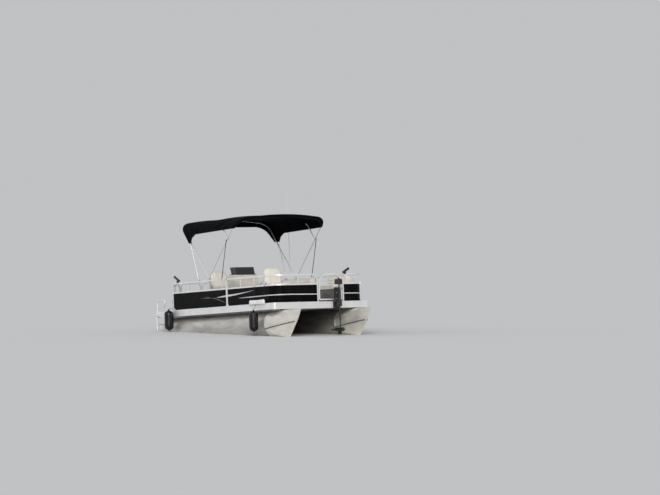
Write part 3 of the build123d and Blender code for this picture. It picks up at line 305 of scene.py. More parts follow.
keep_look(
    "bare", "bare_aluminium", "pontoon_starboard pontoon_port cross_members motor_pod", bare_aluminium()
)
satin_aluminium("silver", "silver_rail", """
    deck_edge_band fence_starboard_aft fence_starboard_bow fence_port_aft fence_port_bow fence_stern
    bow_gate stern_gate top_rear_bow top_rear_struts top_front_bow top_middle_bow boarding_ladder
    ladder_handrails""", "satin_aluminium", 0.84)
satin_aluminium("steel", "steel_fitting", """
    top_mounts seat_pedestals cleats antenna_mount outboard_propeller""", "steel_look", 0.6)
add_look(
    "panel", "black_panel", "panels_starboard panels_port panel_stern stern_gate_panel",
    "panel_black", (0.004, 0.004, 0.005), 0.4, ((0.003, 0.003, 0.0035), (0.007, 0.007, 0.008), 4),
    (0.36, 0.46, 6), (5, 0.05, 0.003), Specular_IOR_Level=0.035,
)
add_look(
    "cloth", "canopy_cloth", "top_canopy",
    "canopy_cloth_look", (0.005, 0.005, 0.006), 0.95, ((0.0035, 0.0035, 0.004), (0.008, 0.008, 0.009), 5),
    (), (14, 0.2, 0.004), (0.004, 0.25, 0.0006), Specular_IOR_Level=0.03,
)
add_look(
    "webbing", "canopy_cloth", "",
    "webbing_look", (0.012, 0.012, 0.013), 0.8, ((0.008, 0.008, 0.009), (0.02, 0.02, 0.021), 30),
    weave=(0.003, 0.5, 0.0006), Specular_IOR_Level=0.25,
)
cream_vinyl("vinyl", "captain_seat fishing_seat couch_cushions", "cream_vinyl_look", 1)
cream_vinyl("piping", "", "piping_look", 0.86)
add_look(
    "white_vinyl", "white_plastic", "",
    "white_vinyl_look", (0.82, 0.82, 0.8), 0.45, ((0.72, 0.72, 0.69), (0.87, 0.87, 0.86), 8, 0.3, 0.7, 5),
    (), (240, 0.25, 0.0008, 2),
)
moulded_plastic("moulded", "moulded_grey", "console", "moulded_look", (0.6, 0.57, 0.51), 0.5, 0.06)
moulded_plastic("base", "moulded_grey", "couch_bases", "couch_base_look", (0.13, 0.125, 0.12), 0.55, 0.15)
moulded_plastic("black", "black_moulding", """
    trolling_mount trolling_collar trolling_stop_ring trolling_carriage trolling_motor trolling_propeller
    rod_holders helm_wheel""", "black_moulding_look", (0.018, 0.018, 0.02), 0.45, 0.3)
moulded_plastic("dark", "black_moulding", "", "dial_look", (0.03, 0.031, 0.034), 0.25, 0.1)
moulded_plastic(
    "white", "white_plastic", "antenna nav_lights", "white_plastic_look", (0.76, 0.76, 0.74), 0.35, 0.05
)
# Painted metal under a clear coat
add_look(
    "motor", "motor_black", "outboard_bracket outboard_swivel outboard_leg outboard_cowl",
    "motor_black_look", (0.012, 0.012, 0.014), 0.32, ((0.008, 0.008, 0.01), (0.022, 0.022, 0.025), 8),
    (0.26, 0.42, 15), (300, 0.05, 0.0004), Coat_Weight=0.6, Coat_Roughness=0.15,
)
add_look(
    "rubber", "black_rubber", "spray_strakes fenders top_front_straps",
    "black_rubber_look", (0.014, 0.014, 0.014), 0.62,
    ((0.009, 0.009, 0.009), (0.03, 0.029, 0.027), 11, 0.35, 0.75, 5), (), (90, 0.15, 0.001),
)
# Inflated vinyl with a wet-looking skin and rubbed patches
add_look(
    "fender", "black_rubber", "",
    "fender_look", (0.006, 0.006, 0.007), 0.26,
    ((0.004, 0.004, 0.005), (0.014, 0.014, 0.015), 7, 0.4, 0.75, 5), (0.2, 0.42, 12), (40, 0.08, 0.001),
    Specular_IOR_Level=0.3,
)
add_look(
    "carpet", None, "deck_panel",
    "deck_carpet_look", (0.24, 0.23, 0.21), 0.95, ((0.16, 0.155, 0.145), (0.3, 0.29, 0.27), 40, 0.3, 0.7, 6),
    (), (600, 0.5, 0.002, 2), Sheen_Weight=0.3,
)
add_look(
    "screen", None, "windshield",
    "clear_screen_look", (0.03, 0.032, 0.036), 0.06, (), (0.04, 0.09, 9), Transmission_Weight=0.55, IOR=1.45,
)
add_look(
    "line", "line_rope", "fender_lines",
    "line_look", (0.02, 0.02, 0.022), 0.8, bump=(500, 0.5, 0.001, 3, (1, 1, 0.3)),
)
stripe_vinyl("stripe", "silver_rail", "stripe_look", (0.52, 0.52, 0.53), (0.68, 0.68, 0.69))
stripe_vinyl("tail", "black_panel", "stripe_dim_look", (0.05, 0.06, 0.055), (0.12, 0.14, 0.125))


# Making pieces


def new_object(name, data):
    thing = bpy.data.objects.new(name, data)
    bpy.context.scene.collection.objects.link(thing)
    return thing


def mesh_from(name, bm):
    bmesh.ops.recalc_face_normals(bm, faces=bm.faces)
    mesh = bpy.data.meshes.new(name)
    bm.to_mesh(mesh)
    bm.free()
    return mesh


def put_piece(name, shape, look, body=ROOT, angle=35):
    """A new piece from a mesh or bmesh, with its material and smooth shading, riding on a body."""
    mesh = mesh_from(name, shape) if isinstance(shape, bmesh.types.BMesh) else shape
    material, slot = looks[look]
    mesh.materials.clear()
    mesh.materials.append(material)
    smooth(mesh, angle)
    thing = new_object(name, mesh)
    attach(thing, body)
    return thing


def applied(thing):
    """The object's mesh with its modifiers applied."""
    graph = bpy.context.evaluated_depsgraph_get()
    return bpy.data.meshes.new_from_object(thing.evaluated_get(graph))


def at(place, direction=Z):
    """The placement that takes the Z axis to a direction, at a place."""
    return Matrix.Translation(place) @ Vector(direction).to_track_quat("Z", "Y").to_matrix().to_4x4()


def along(origin, x_axis, z_axis):
    """The placement whose X and Z axes point as given."""
    x_axis, z_axis = x_axis.normalized(), z_axis.normalized()
    y_axis = z_axis.cross(x_axis)
    return Matrix.Translation(origin) @ Matrix((x_axis, y_axis, z_axis)).transposed().to_4x4()


def skin(bm, rings, closed=False):
    """Faces over the two end rings of points, unless they close on themselves, and then between the rings."""
    rings = [[bm.verts.new(point) for point in ring] for ring in rings]
    ends = [] if closed else [bm.faces.new(rings[0][::-1]), bm.faces.new(rings[-1])]
    for lower, upper in zip(rings, rings[1:] + rings[:1] if closed else rings[1:]):
        for k in range(len(lower)):
            m = (k + 1) % len(lower)
            bm.faces.new((lower[k], lower[m], upper[m], upper[k]))
    return ends


def add_block(bm, low, high, bevel=0.0, place=Matrix()):
    verts = bmesh.ops.create_cube(bm, size=1)["verts"]
    for vert in verts:
        vert.co = [a + (c + 0.5) * (b - a) for a, b, c in zip(low, high, vert.co)]
    if bevel:
        edges = list(dict.fromkeys(edge for vert in verts for edge in vert.link_edges))
        made = bmesh.ops.bevel(bm, geom=edges, offset=bevel, segments=2, profile=0.5, affect="EDGES")
        verts = made["verts"]
    bmesh.ops.transform(bm, matrix=place, verts=verts)


def add_lathe(bm, profile, place=Matrix(), sides=28):
    """Turns (radius, height) points round the Z axis; a radius of 0 closes an end."""
    rings = []
    for radius, height in profile:
        turns = [2 * pi * i / sides for i in range(sides if radius > 1e-6 else 1)]
        ring = [Vector((radius * cos(a), radius * sin(a), height)) for a in turns]
        rings.append([bm.verts.new(place @ point) for point in ring])
    for lower, upper in zip(rings, rings[1:]):
        for i in range(sides):
            j = (i + 1) % sides
            corners = [ring[k % len(ring)] for ring, k in ((lower, i), (lower, j), (upper, j), (upper, i))]
            bm.faces.new(list(dict.fromkeys(corners)))


def button(radius, edge, inner, top, low=0):
    """The profile of a bolt head: a radius up to its edge, then a chamfer to an inner radius at its top."""
    return [(0, low), (radius, low), (radius, edge), (inner, top), (0, top)]


def add_sweep(bm, points, radius, sides=8, closed=False, squash=1.0):
    """A tube along points, made flat across its second axis by squash."""
    points = [Vector(p) for p in points]
    count = len(points)
    turns = [2 * pi * k / sides for k in range(sides)]
    rings = []
    across = None
    for i, point in enumerate(points):
        before = points[i - 1] if closed or i else point
        after = points[(i + 1) % count] if closed or i < count - 1 else point
        way = (after - before).normalized()
        if across is None:
            across = way.orthogonal().normalized()
        across = (across - way * across.dot(way)).normalized()
        other = way.cross(across) * squash
        spokes = [across * cos(a) + other * sin(a) for a in turns]
        rings.append([point + radius * spoke for spoke in spokes])
    skin(bm, rings, closed)


def rounded_outline(length, width, radii, steps=5):
    """A rectangle about the origin with one or four corner radii, anticlockwise from the +X +Y corner."""
    if not isinstance(radii, tuple):
        radii = (radii,) * 4
    points = []
    for quarter, (radius, (sx, sy)) in enumerate(zip(radii, square[2:] + square[:2])):
        centre = Vector((sx * (length / 2 - radius), sy * (width / 2 - radius)))
        for step in range(steps + 1):
            turn = pi / 2 * (quarter + step / steps)
            points.append(centre + radius * Vector((cos(turn), sin(turn))))
    return points


def add_prism(bm, outline, low, high, bevel, place=Matrix(), segments=3):
    """An outline in X and Y raised from one height to another, with its edges rounded."""
    ends = skin(bm, [[place @ Vector((*p, z)) for p in outline] for z in (low, high)])
    edges = list(ends[0].edges) + list(ends[1].edges)
    bmesh.ops.bevel(bm, geom=edges, offset=bevel, segments=segments, profile=0.5, affect="EDGES")


def add_plate(bm, size, radii, low, high, bevel, place, steps=5):
    add_prism(bm, rounded_outline(*size, radii, steps), low, high, bevel, place)


# Padded pieces
#
# Each cushion starts a little small, is blown up as cloth with pressure, and gets its seams afterwards.

pad_shrink = 0.008
pad_swell = 0.011
pad_voxel = 0.014
pad_pressure = 4.0
pad_frames = 20
pad_crown = 0.008
channel_size = (0.009, 0.009)
piping_radius = 0.0042


def remeshed(name, bm):
    """The shape as an even mesh, ready for cloth."""
    thing = new_object(name, mesh_from(name, bm))
    change = thing.modifiers.new("remesh", "REMESH")
    change.mode = "VOXEL"
    change.voxel_size = pad_voxel
    mesh = applied(thing)
    thing.modifiers.clear()
    thing.data = mesh
    return thing


def blow_up(things):
    """Runs the cloth of all the pads together, and keeps each point within the swell allowed."""
    scene = bpy.context.scene
    for thing in things:
        cloth = thing.modifiers.new("cloth", "CLOTH")
        cloth.settings.use_pressure = True
        cloth.settings.uniform_pressure_force = pad_pressure
        cloth.settings.effector_weights.gravity = 0
        cloth.settings.quality = 4
        cloth.collision_settings.use_collision = False
        cloth.collision_settings.use_self_collision = False
        cloth.point_cache.frame_start = 1
        cloth.point_cache.frame_end = pad_frames
    for step in range(1, pad_frames + 1):
        scene.frame_set(step)
    graph = bpy.context.evaluated_depsgraph_get()
    for thing in things:
        blown = [v.co.copy() for v in thing.evaluated_get(graph).data.vertices]
        thing.modifiers.clear()
        for vert, target in zip(thing.data.vertices, blown):
            move = target - vert.co
            if move.length > pad_swell:
                move = move.normalized() * pad_swell
            vert.co = vert.co + move
    scene.frame_set(1)


def subdivided(mesh):
    """One level of subdivision, applied."""
    thing = new_object("subdivide", mesh)
    thing.modifiers.new("smooth", "SUBSURF").levels = 1
    fine = applied(thing)
    bpy.data.objects.remove(thing)
    return fine


def press_channels(mesh, channels):
    """Sewn channels: each is (axis, position), a groove across the pad's upper face."""
    half, depth = channel_size
    facing_up = [vert.normal.z > 0.3 for vert in mesh.vertices]
    for vert, up in zip(mesh.vertices, facing_up):
        if up:
            for axis, position in channels:
                away = (vert.co[axis] - position) / half
                vert.co.z -= depth * exp(-away * away)


def crown(mesh, length, width):
    """Raises the middle of a pad's upper face, as foam does under a sewn cover."""
    for vert in mesh.vertices:
        if vert.co.z > 0:
            share = (1 - (2 * vert.co.x / length) ** 2) * (1 - (2 * vert.co.y / width) ** 2)
            vert.co.z += pad_crown * max(0, share)


def flatten(mesh, floor):
    """Keeps a pad's underside on what it rests on."""
    for vert in mesh.vertices:
        vert.co.z = max(vert.co.z, floor)


def resampled(outline, pitch=0.02):
    """Points along a closed outline, no further apart than a pitch."""
    points = []
    for a, b in zip(outline, outline[1:] + outline[:1]):
        count = max(1, int((b - a).length / pitch))
        points += [a.lerp(b, i / count) for i in range(count) if (b - a).length > 1e-6]
    return points


def add_piping(mesh, outline, height):
    """Piping laid on a pad's surface along an outline at one height."""
    tree = bvhtree.BVHTree.FromPolygons([v.co for v in mesh.vertices], [p.vertices for p in mesh.polygons])
    points = []
    for point in outline:
        found, normal = tree.find_nearest(Vector((*point, height)))[:2]
        points.append(found + normal * piping_radius * 0.3)
    bm = bmesh.new()
    add_sweep(bm, points, piping_radius, 6, closed=True)
    return mesh_from("piping", bm)


# Couches, as (name, middle of the back, ways along it and out of it, length, depth, places of the channels)
couches = (
    ("port", (-0.075, 1.13), -X, -Y, 1.15, 0.55, 0.19, 0.13),
    ("bow", (1.65, 1.13), -X, -Y, 0.9, 0.48, 0.15, 0.11),
    ("stern", (-2.06, 0.39), Y, X, 1.44, 0.56, 0.24, 0.13),
)
couch_low = frame_deck_z + 0.2905
couch_seat_thickness = 0.11
couch_rest_size = (0.31, 0.12)
couch_gap = 0.001
couch_doors = 2
door_margin = 0.03

# Cushions, as (length, width, thickness, corner radii, channels across the length, channels along it)
cushions = {
    "seat_pad": (0.48, 0.47, 0.095, (0.09, 0.05, 0.05, 0.09), (0.12,), (-0.15, 0.15)),
    "seat_back_pad": (0.39, 0.46, 0.074, (0.11, 0.05, 0.05, 0.11), (-0.03,), (-0.14, 0.14)),
    "side_pad": (0.69, 0.128, 0.044, (0.018,) * 4, (), ()),
}
for name, _, _, _, length, depth, across, forward in couches:
    seat_size = (depth - couch_rest_size[1] - couch_gap, couch_seat_thickness)
    cushions[f"couch_{name}_seat"] = (length, *seat_size, (0.04,) * 4, (-across, across), (forward,))
    cushions[f"couch_{name}_rest"] = (length, *couch_rest_size, (0.05,) * 4, (-across, across), (0.06,))


def pad_start(length, width, thickness, radii):
    bm = bmesh.new()
    outline = rounded_outline(length - 2 * pad_shrink, width - 2 * pad_shrink, radii, 6)
    half = thickness / 2 - pad_shrink
    add_prism(bm, outline, -half, half, min(0.028, half * 0.8), segments=4)
    return bm


def cushion_meshes():
    """Finished cushion meshes about their own middles, with the piping of each."""
    things = {name: remeshed(name, pad_start(*sizes[:4])) for name, sizes in cushions.items()}
    blow_up(list(things.values()))
    made = {}
    for name, thing in things.items():
        length, width, thickness, radii, crosswise, lengthwise = cushions[name]
        mesh = subdivided(thing.data)
        bpy.data.objects.remove(thing)
        crown(mesh, length, width)
        press_channels(mesh, [(0, x) for x in crosswise] + [(1, y) for y in lengthwise])
        flatten(mesh, -thickness / 2 + 0.0005)
        outline = rounded_outline(length + 0.01, width + 0.01, tuple(r + 0.005 for r in radii), 10)
        made[name] = mesh, add_piping(mesh, resampled(outline), thickness / 2 - min(0.03, thickness * 0.4))
    return made


def place_cushion(made, key, name, place, body=ROOT, look="vinyl", piping_look="piping"):
    pad_mesh, piping = [mesh.copy() for mesh in made[key]]
    for mesh in (pad_mesh, piping):
        mesh.transform(place)
    pad = put_piece(name, pad_mesh, look, body, 60)
    put_piece(name + "_piping", piping, piping_look, body, 60)
    return pad


# Canopy
#
# One sheet over the three bows. Its rows run across the boat: the front hem turned in under the first bow,
# the roof with its side walls, and the valance that hangs down behind the rear bow.

leg_steps = 7
arc_steps = 10
roof_steps = 44
front_bay_rows = 14
valance_rows = 7
strap_steps = 24


def step_xz(start, end):
    """Unit direction from one (x, z) point to another."""
    dx, dz = end[0] - start[0], end[1] - start[1]
    length = hypot(dx, dz)
    return dx / length, dz / length


def shifted(point, way, distance):
    return point[0] + way[0] * distance, point[1] + way[1] * distance


def arch(foot, corner, side, roof):
    """A row of points over the boat in a bow's plane, from one side and the roof as (half width, height)."""
    dx, dz = step_xz(foot, corner)
    outline = [(-y, up) for y, up in side] + [(-y, up) for y, up in roof] + side[::-1]
    return [Vector((foot[0] + dx * up, y, foot[1] + dz * up)) for y, up in outline]


def hoop_row(foot, corner, low_z, grow, half_beam=rail_half_beam):
    """Points of a bow's outline, from low_z on the starboard leg over the roof to low_z on the port leg."""
    dz = step_xz(foot, corner)[1]
    half = half_beam + grow
    height = dist(foot, corner) + grow / dz
    radius = bow_corner_radius + grow
    lean = atan2(bow_crown, half)
    trim = radius * tan((pi / 2 - lean) / 2)
    low = (low_z - foot[1]) / dz
    side = [(half, low + (height - trim - low) * i / leg_steps) for i in range(leg_steps)]
    for i in range(arc_steps + 1):
        turn = (pi / 2 - lean) * i / arc_steps
        side.append((half - radius + radius * cos(turn), height - trim + radius * sin(turn)))
    reach = bow_crown_radius * tan(lean)
    centre = height + bow_crown - hypot(reach, bow_crown_radius)
    roof = []
    for i in range(1, roof_steps):
        y = side[-1][0] * (1 - 2 * i / roof_steps)
        if abs(y) < reach * cos(lean):
            roof.append((y, centre + sqrt(bow_crown_radius**2 - y * y)))
        else:
            roof.append((y, height + bow_crown * (1 - abs(y) / half)))
    return arch(foot, corner, side, roof)


def mouth_row(foot, corner, low_z):
    """Points of the rear opening's outline, in the same order as a bow's."""
    dz = step_xz(foot, corner)[1]
    low = Vector((rail_half_beam - mouth_insets[0], -0.08))
    high = Vector((rail_half_beam - mouth_insets[1], (mouth_z - foot[1]) / dz))
    way = (high - low).normalized()
    tilt = atan2(-way.x, way.y)
    trim = mouth_radius * tan((pi / 2 - tilt) / 2)
    start = high - way * trim
    centre = Vector((high.x - trim, high.y - mouth_radius))
    up = (low_z - foot[1]) / dz
    foot_point = low + way * (up - low.y) / way.y
    side = [tuple(foot_point.lerp(start, i / leg_steps)) for i in range(leg_steps)]
    for i in range(arc_steps + 1):
        turn = tilt + (pi / 2 - tilt) * i / arc_steps
        side.append((centre.x + mouth_radius * cos(turn), centre.y + mouth_radius * sin(turn)))
    inner, top = side[-1]
    return arch(foot, corner, side, [(inner * (1 - 2 * i / roof_steps), top) for i in range(1, roof_steps)])


def edge_height(x):
    """Height of the canopy's lower edge at the sides."""
    if x >= canopy_edge[0][0]:
        return canopy_edge[0][1]
    for (x0, z0), (x1, z1) in zip(canopy_edge, canopy_edge[1:]):
        if x >= x1:
            return z0 + (z1 - z0) * (x - x0) / (x1 - x0)
    return canopy_edge[-1][1]


def lerp_row(first, second, share, low_x):
    """A row between two rows, with its legs brought down to the lower edge at low_x."""
    row = [a.lerp(b, share) for a, b in zip(first, second)]
    low_z = edge_height(low_x)
    for end, way in ((0, 1), (len(row) - 1, -1)):
        top = row[end + way * leg_steps]
        low = Vector((low_x, row[end].y, low_z))
        for i in range(leg_steps):
            row[end + way * i] = low.lerp(top, i / leg_steps)
    return row


def canopy_rows():
    """All rows from the front hem to the rear valance, and where each stands: hem, roof or valance."""
    grow, tucked = canopy_grow, canopy_grow - 0.006
    low_front, low_rear = canopy_edge[0][1], canopy_edge[3][1]

    def moved(foot, corner, past):
        way = step_xz(middle_corner, corner)
        return shifted(foot, way, past), shifted(corner, way, past)

    fore, aft = moved(top_hinge, front_corner, canopy_past), moved(rear_knuckle, rear_corner, canopy_past)
    rows = [(hoop_row(*fore, low_front, grown), "hem", 0) for grown in (-0.045, -0.025, -0.005, tucked)]
    first = hoop_row(*moved(top_hinge, front_corner, canopy_past - 0.004), low_front, grow)
    middle = hoop_row(front_knuckle, middle_corner, low_front, grow)
    last = hoop_row(*moved(rear_knuckle, rear_corner, canopy_past - 0.004), low_rear, grow)
    # Each bay's stretches, as (share at the start, the lower edge's x there, rows)
    front_bay = ((0, first[0].x, front_bay_rows), (1, middle[0].x, 0))
    edge_xs = [x for x, _ in canopy_edge]
    rear_bay = ((0, middle[0].x, 20), (0.7, edge_xs[1], 5), (0.82, edge_xs[2], 4), (0.91, edge_xs[3], 4))
    for start, end, bay in ((first, middle, front_bay), (middle, last, (*rear_bay, (1, last[0].x, 0)))):
        for (s0, x0, count), (s1, x1, _) in zip(bay, bay[1:]):
            for i in range(count):
                share = s0 + (s1 - s0) * i / count
                low_x = x0 + (x1 - x0) * (share - s0) / (s1 - s0)
                rows.append((lerp_row(start, end, share, low_x), "roof", share))
    rows.append((lerp_row(middle, last, 1, last[0].x), "roof", 1))
    top, mouth = hoop_row(*aft, low_rear, tucked), mouth_row(*aft, low_rear)
    for i in range(valance_rows):
        share = i / (valance_rows - 1)
        rows.append(([a.lerp(b, share) for a, b in zip(top, mouth)], "valance", share))
    return rows


def sagged(rows):
    """Lets the cloth sag a little between the bows, with faint wrinkles."""
    for row, part, share in rows:
        dip = 4 * share * (1 - share)
        for i, point in enumerate(row):
            from_side = min(i, len(row) - 1 - i)
            on_roof = min(1, max(0, (from_side - leg_steps) / arc_steps))
            ripple = noise.noise(point * 2.1) * 0.6 + noise.noise(point * 6.3) * 0.4
            if part == "roof":
                drop = canopy_sag * dip * on_roof * (0.75 + 0.25 * cos(point.y * 2.4))
                point.z -= drop - ripple * 0.008 * dip * on_roof
                if from_side < leg_steps + arc_steps:
                    pull = (0.006 * dip + ripple * 0.006 * dip) * (1 - on_roof)
                    point.y -= copysign(1, point.y) * pull
            if part == "valance":
                point.x -= (0.003 + ripple * 0.008) * share
    return rows


def grid_mesh(name, rows):
    mesh = bpy.data.meshes.new(name)
    columns = len(rows[0])
    starts = [r * columns + c for r in range(len(rows) - 1) for c in range(columns - 1)]
    faces = [(a, a + 1, a + columns + 1, a + columns) for a in starts]
    mesh.from_pydata([point for row in rows for point in row], [], faces)
    return mesh


def solidified(mesh, thickness):
    thing = new_object("solidify", mesh)
    change = thing.modifiers.new("thick", "SOLIDIFY")
    change.thickness = thickness
    change.offset = 0
    bm = bmesh.new()
    bm.from_mesh(applied(thing))
    bpy.data.objects.remove(thing)
    return mesh_from(mesh.name, bm)


def make_canopy():
    marked = sagged(canopy_rows())
    rows = [row for row, _, _ in marked]
    cloth = solidified(grid_mesh("canopy_sheet", rows), cloth_thickness)
    sheet = put_piece("canopy_sheet", cloth, "cloth", angle=60)
    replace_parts(sheet, "top_canopy")

    edging = bmesh.new()
    for path in ([row[0] for row in rows], rows[-1], [row[-1] for row in rows], rows[0]):
        add_sweep(edging, path, 0.006, 6, squash=0.6)
    binding = put_piece("canopy_binding", edging, "webbing")

    # Seams beside the bows and over them, and two double seams along the roof
    strips = bmesh.new()
    roof = [row for row, part, _ in marked if part == "roof"]
    for index in (1, front_bay_rows, len(roof) - 2):
        for before in (index - 1, index):
            path = [a.lerp(b, 0.45) for a, b in zip(roof[before], roof[before + 1])]
            add_sweep(strips, [p + Vector((0, 0, 0.002)) for p in path], 0.0022, 5)
    for column in (leg_steps + arc_steps + roof_steps // 3, leg_steps + arc_steps + 2 * roof_steps // 3):
        for lift in (-0.012, 0.012):
            add_sweep(strips, [row[column] + Vector((0, lift, 0.0028)) for row in roof], 0.002, 5)
    seams = put_piece("canopy_seams", strips, "cloth")

    sleeves = make_sleeves()
    for thing in (sheet, binding, seams):
        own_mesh(thing)


def make_sleeves():
    """Cloth pockets round the crossbars, which stay on their bows as the top folds."""
    sleeves = []
    for name, body, foot, corner, half_beam in (
        ("front", "front_bow", top_hinge, front_corner, rail_half_beam),
        ("middle", "middle_bow", front_knuckle, middle_corner, inner_half_beam),
        ("rear", ROOT, rear_knuckle, rear_corner, rail_half_beam),
    ):
        bm = bmesh.new()
        row = hoop_row(foot, corner, corner[1] - 0.4, 0, half_beam)
        add_sweep(bm, row[leg_steps + 3:-leg_steps - 3], sleeve_radius, 12)
        sleeves.append(put_piece(f"canopy_sleeve_{name}", bm, "cloth", body, 60))
    return sleeves


def make_straps():
    """Webbing from the rails up to the front bow, with a hook at the foot."""
    for side, name in ((-1, "starboard"), (1, "port")):
        y = side * strap_y
        top, foot = Vector((front_knuckle[0], y, front_knuckle[1])), Vector((strap_foot_x, y, fence_top_z))
        way = (foot - top).normalized()
        across = Y.cross(way)
        bm = bmesh.new()
        rings = []
        for i in range(strap_steps + 1):
            bend = sin(pi * i / strap_steps)
            middle = top.lerp(foot, i / strap_steps) + 0.003 * side * bend * Y
            half = strap_half_width * (across * cos(0.12 * bend) + Y * sin(0.12 * bend))
            rings.append([middle + a * half + b * strap_half_thickness * Y for a, b in square])
        skin(bm, rings)
        strap = put_piece(f"front_strap_{name}", bm, "webbing")
        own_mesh(strap)
        if side < 0:
            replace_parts(strap, "top_front_straps")

        hook = bmesh.new()
        clip = along(foot + Vector((0, side * 0.002, 0.02)), -way, side * Y)
        add_plate(hook, (0.04, 0.044), 0.006, 0, 0.004, 0.001, clip)
        bolt = at(foot + Vector((0, side * 0.0055, 0.012)), side * Y)
        add_lathe(hook, button(0.008, 0.004, 0.004, 0.0065), bolt, 16)
        put_piece(f"strap_hook_{name}", hook, "steel")


# Seats


def make_couches(made):
    """The couches' seats and rests, and the doors in their bases."""
    doors = bmesh.new()
    door_low, door_high = frame_deck_z + 0.075, couch_low - door_margin
    rest_height, rest_depth = couch_rest_size
    pads = []
    for name, back, run, out, length, depth, _, _ in couches:
        back = Vector((*back, 0))
        seat = back + out * (depth + rest_depth + couch_gap) / 2 + Z * (couch_low + couch_seat_thickness / 2)
        rest = back + out * rest_depth / 2 + Z * (couch_low + rest_height / 2)
        for part, place in (("seat", along(seat, run, Z)), ("rest", along(rest, -run, out))):
            pads.append(place_cushion(made, f"couch_{name}_{part}", f"couch_{name}_{part}", place))
        wide = (length - 2 * door_margin) / couch_doors - door_margin
        front = back + out * depth + Z * (door_low + door_high) / 2
        for i in range(couch_doors):
            middle = -length / 2 + 1.5 * door_margin + wide / 2 + i * (wide + door_margin)
            door = along(front + run * middle, run, out)
            add_plate(doors, (wide, door_high - door_low), 0.02, -0.004, 0.005, 0.003, door)
    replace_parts(pads[0], "couch_cushions")
    put_piece("couch_doors", doors, "base")


def make_seat(made, name, x, y, z):
    """A folding fishing seat: swivel plate, pan, shell, hinge arms and two pads."""
    home = Matrix.Translation((x, y, z))
    back = home @ Matrix.Translation((-0.275, 0, 0.089)) @ Matrix.Rotation(radians(-8), 4, "Y")
    pad = place_cushion(made, "seat_pad", name + "_pad", home @ Matrix.Translation((0.01, 0, 0.0815)), name)
    rest, rear = [back @ along((depth, 0, 0.195), Z, X) for depth in (0.052, 0.006)]
    place_cushion(made, "seat_back_pad", name + "_back_pad", rest, name)

    shell = bmesh.new()
    add_plate(shell, (0.386, 0.456), (0.108, 0.05, 0.05, 0.108), -0.006, 0.011, 0.005, rear, 8)
    add_plate(shell, (0.44, 0.44), 0.08, 0.0125, 0.034, 0.007, home, 8)
    put_piece(name + "_shell", shell, "moulded", name)

    fittings = bmesh.new()
    plate = (
        (0.0125, 0.0005), (0.088, 0.0005), (0.09, 0.0025), (0.09, 0.009), (0.086, 0.012),
        (0.0125, 0.012),
    )
    add_lathe(fittings, plate, home, 40)
    arm = (
        (-0.262, 0.034), (-0.15, 0.034), (-0.145, 0.055), (-0.185, 0.105), (-0.2, 0.165), (-0.225, 0.172),
        (-0.262, 0.15),
    )
    for side in (-1, 1):
        faces = sorted((side * 0.2325, side * 0.2415))
        skin(fittings, [[home @ Vector((px, py, pz)) for px, pz in arm] for py in faces])
        for px, pz in ((-0.225, 0.125), (-0.205, 0.06)):
            bolt = home @ at((px, side * 0.2415, pz), side * Y)
            add_lathe(fittings, button(0.011, 0.003, 0.007, 0.0065), bolt, 14)
    put_piece(name + "_fittings", fittings, "steel", name)
    return pad


def make_side_pad(made):
    """The white pad that hangs on the near side, over the panel's foot and the edge band."""
    x, low, high, face = side_pad_place
    place = along((x, -(face + 0.02), (low + high) / 2), X, -Y)
    place_cushion(made, "side_pad", "side_pad", place, ROOT, "white_vinyl", "white_vinyl")
    bm = bmesh.new()
    for at_x in (x - 0.22, x + 0.22):
        start = ((face + 0.006, high - 0.02), (face - 0.02, high + 0.04))
        line = (*start, (1.196, 1.12), (1.19, 1.2), (1.17, 1.21))
        add_sweep(bm, [(at_x, -y, z) for y, z in line], 0.0035, 6)
    put_piece("side_pad_lines", bm, "line")


# Trim

decal_depths = (-0.0002, 0.0008)
foot_trim = (0.797, 0.833, -0.008, 0)
rivet_spans = (
    (-2.0, -1.42), (-1.32, -0.95), (-0.85, -0.47), (-0.37, 0.36), (0.5, 0.98), (1.09, 1.62), (1.72, 2.2),
)
rivet_heights = (0.842, 1.162)
screw_pitch = 0.3
screw_size = (0.006, 0.003)
weld_xs = (-2.612, -0.96, 0.72, nose_seam_x)


def flat_section(low, high, back, front):
    return (back, low), (front, low), (front, high), (back, high)


def smooth_stations(stations, steps=8):
    """Stations on a Catmull-Rom curve through the ones given."""
    padded = [stations[0], *stations, stations[-1]]
    made = []
    for a, b, c, d in zip(padded, padded[1:], padded[2:], padded[3:]):
        for i in range(steps):
            t = i / steps
            weights = (-t + 2 * t**2 - t**3, 2 - 5 * t**2 + 3 * t**3, t + 4 * t**2 - 3 * t**3, t**3 - t**2)
            made.append([sum(w * p[k] for w, p in zip(weights, (a, b, c, d))) / 2 for k in range(3)])
    return made + [stations[-1]]


def side_path(xs, y):
    """Places and outward directions along a straight side."""
    return [(Vector((x, y)), Vector((0, 1))) for x in xs]


def bow_path(side, xs, grow):
    """Places and outward directions along the bow panel's side, round its corner and across its front."""
    corner, radius = Vector(panel_bend), panel_bend_radius + grow
    stops = side_path(xs, corner.y + radius)
    for i in range(13):
        turn = pi / 2 * i / 12
        out = Vector((sin(turn), cos(turn)))
        stops.append((corner + out * radius, out))
    last_y = 0.075 if side < 0 else 0.625
    return stops + [(Vector((corner.x + radius, y)), Vector((1, 0))) for y in (0.8, 0.7, last_y)]


def add_strip(bm, side, stops, sections):
    """A strip along stops, with a section of (depth, height) corners at each."""
    rings = []
    for (spot, out), section in zip(stops, sections):
        places = [(spot + out * depth, z) for depth, z in section]
        rings.append([(place.x, side * place.y, z) for place, z in places])
    skin(bm, rings)


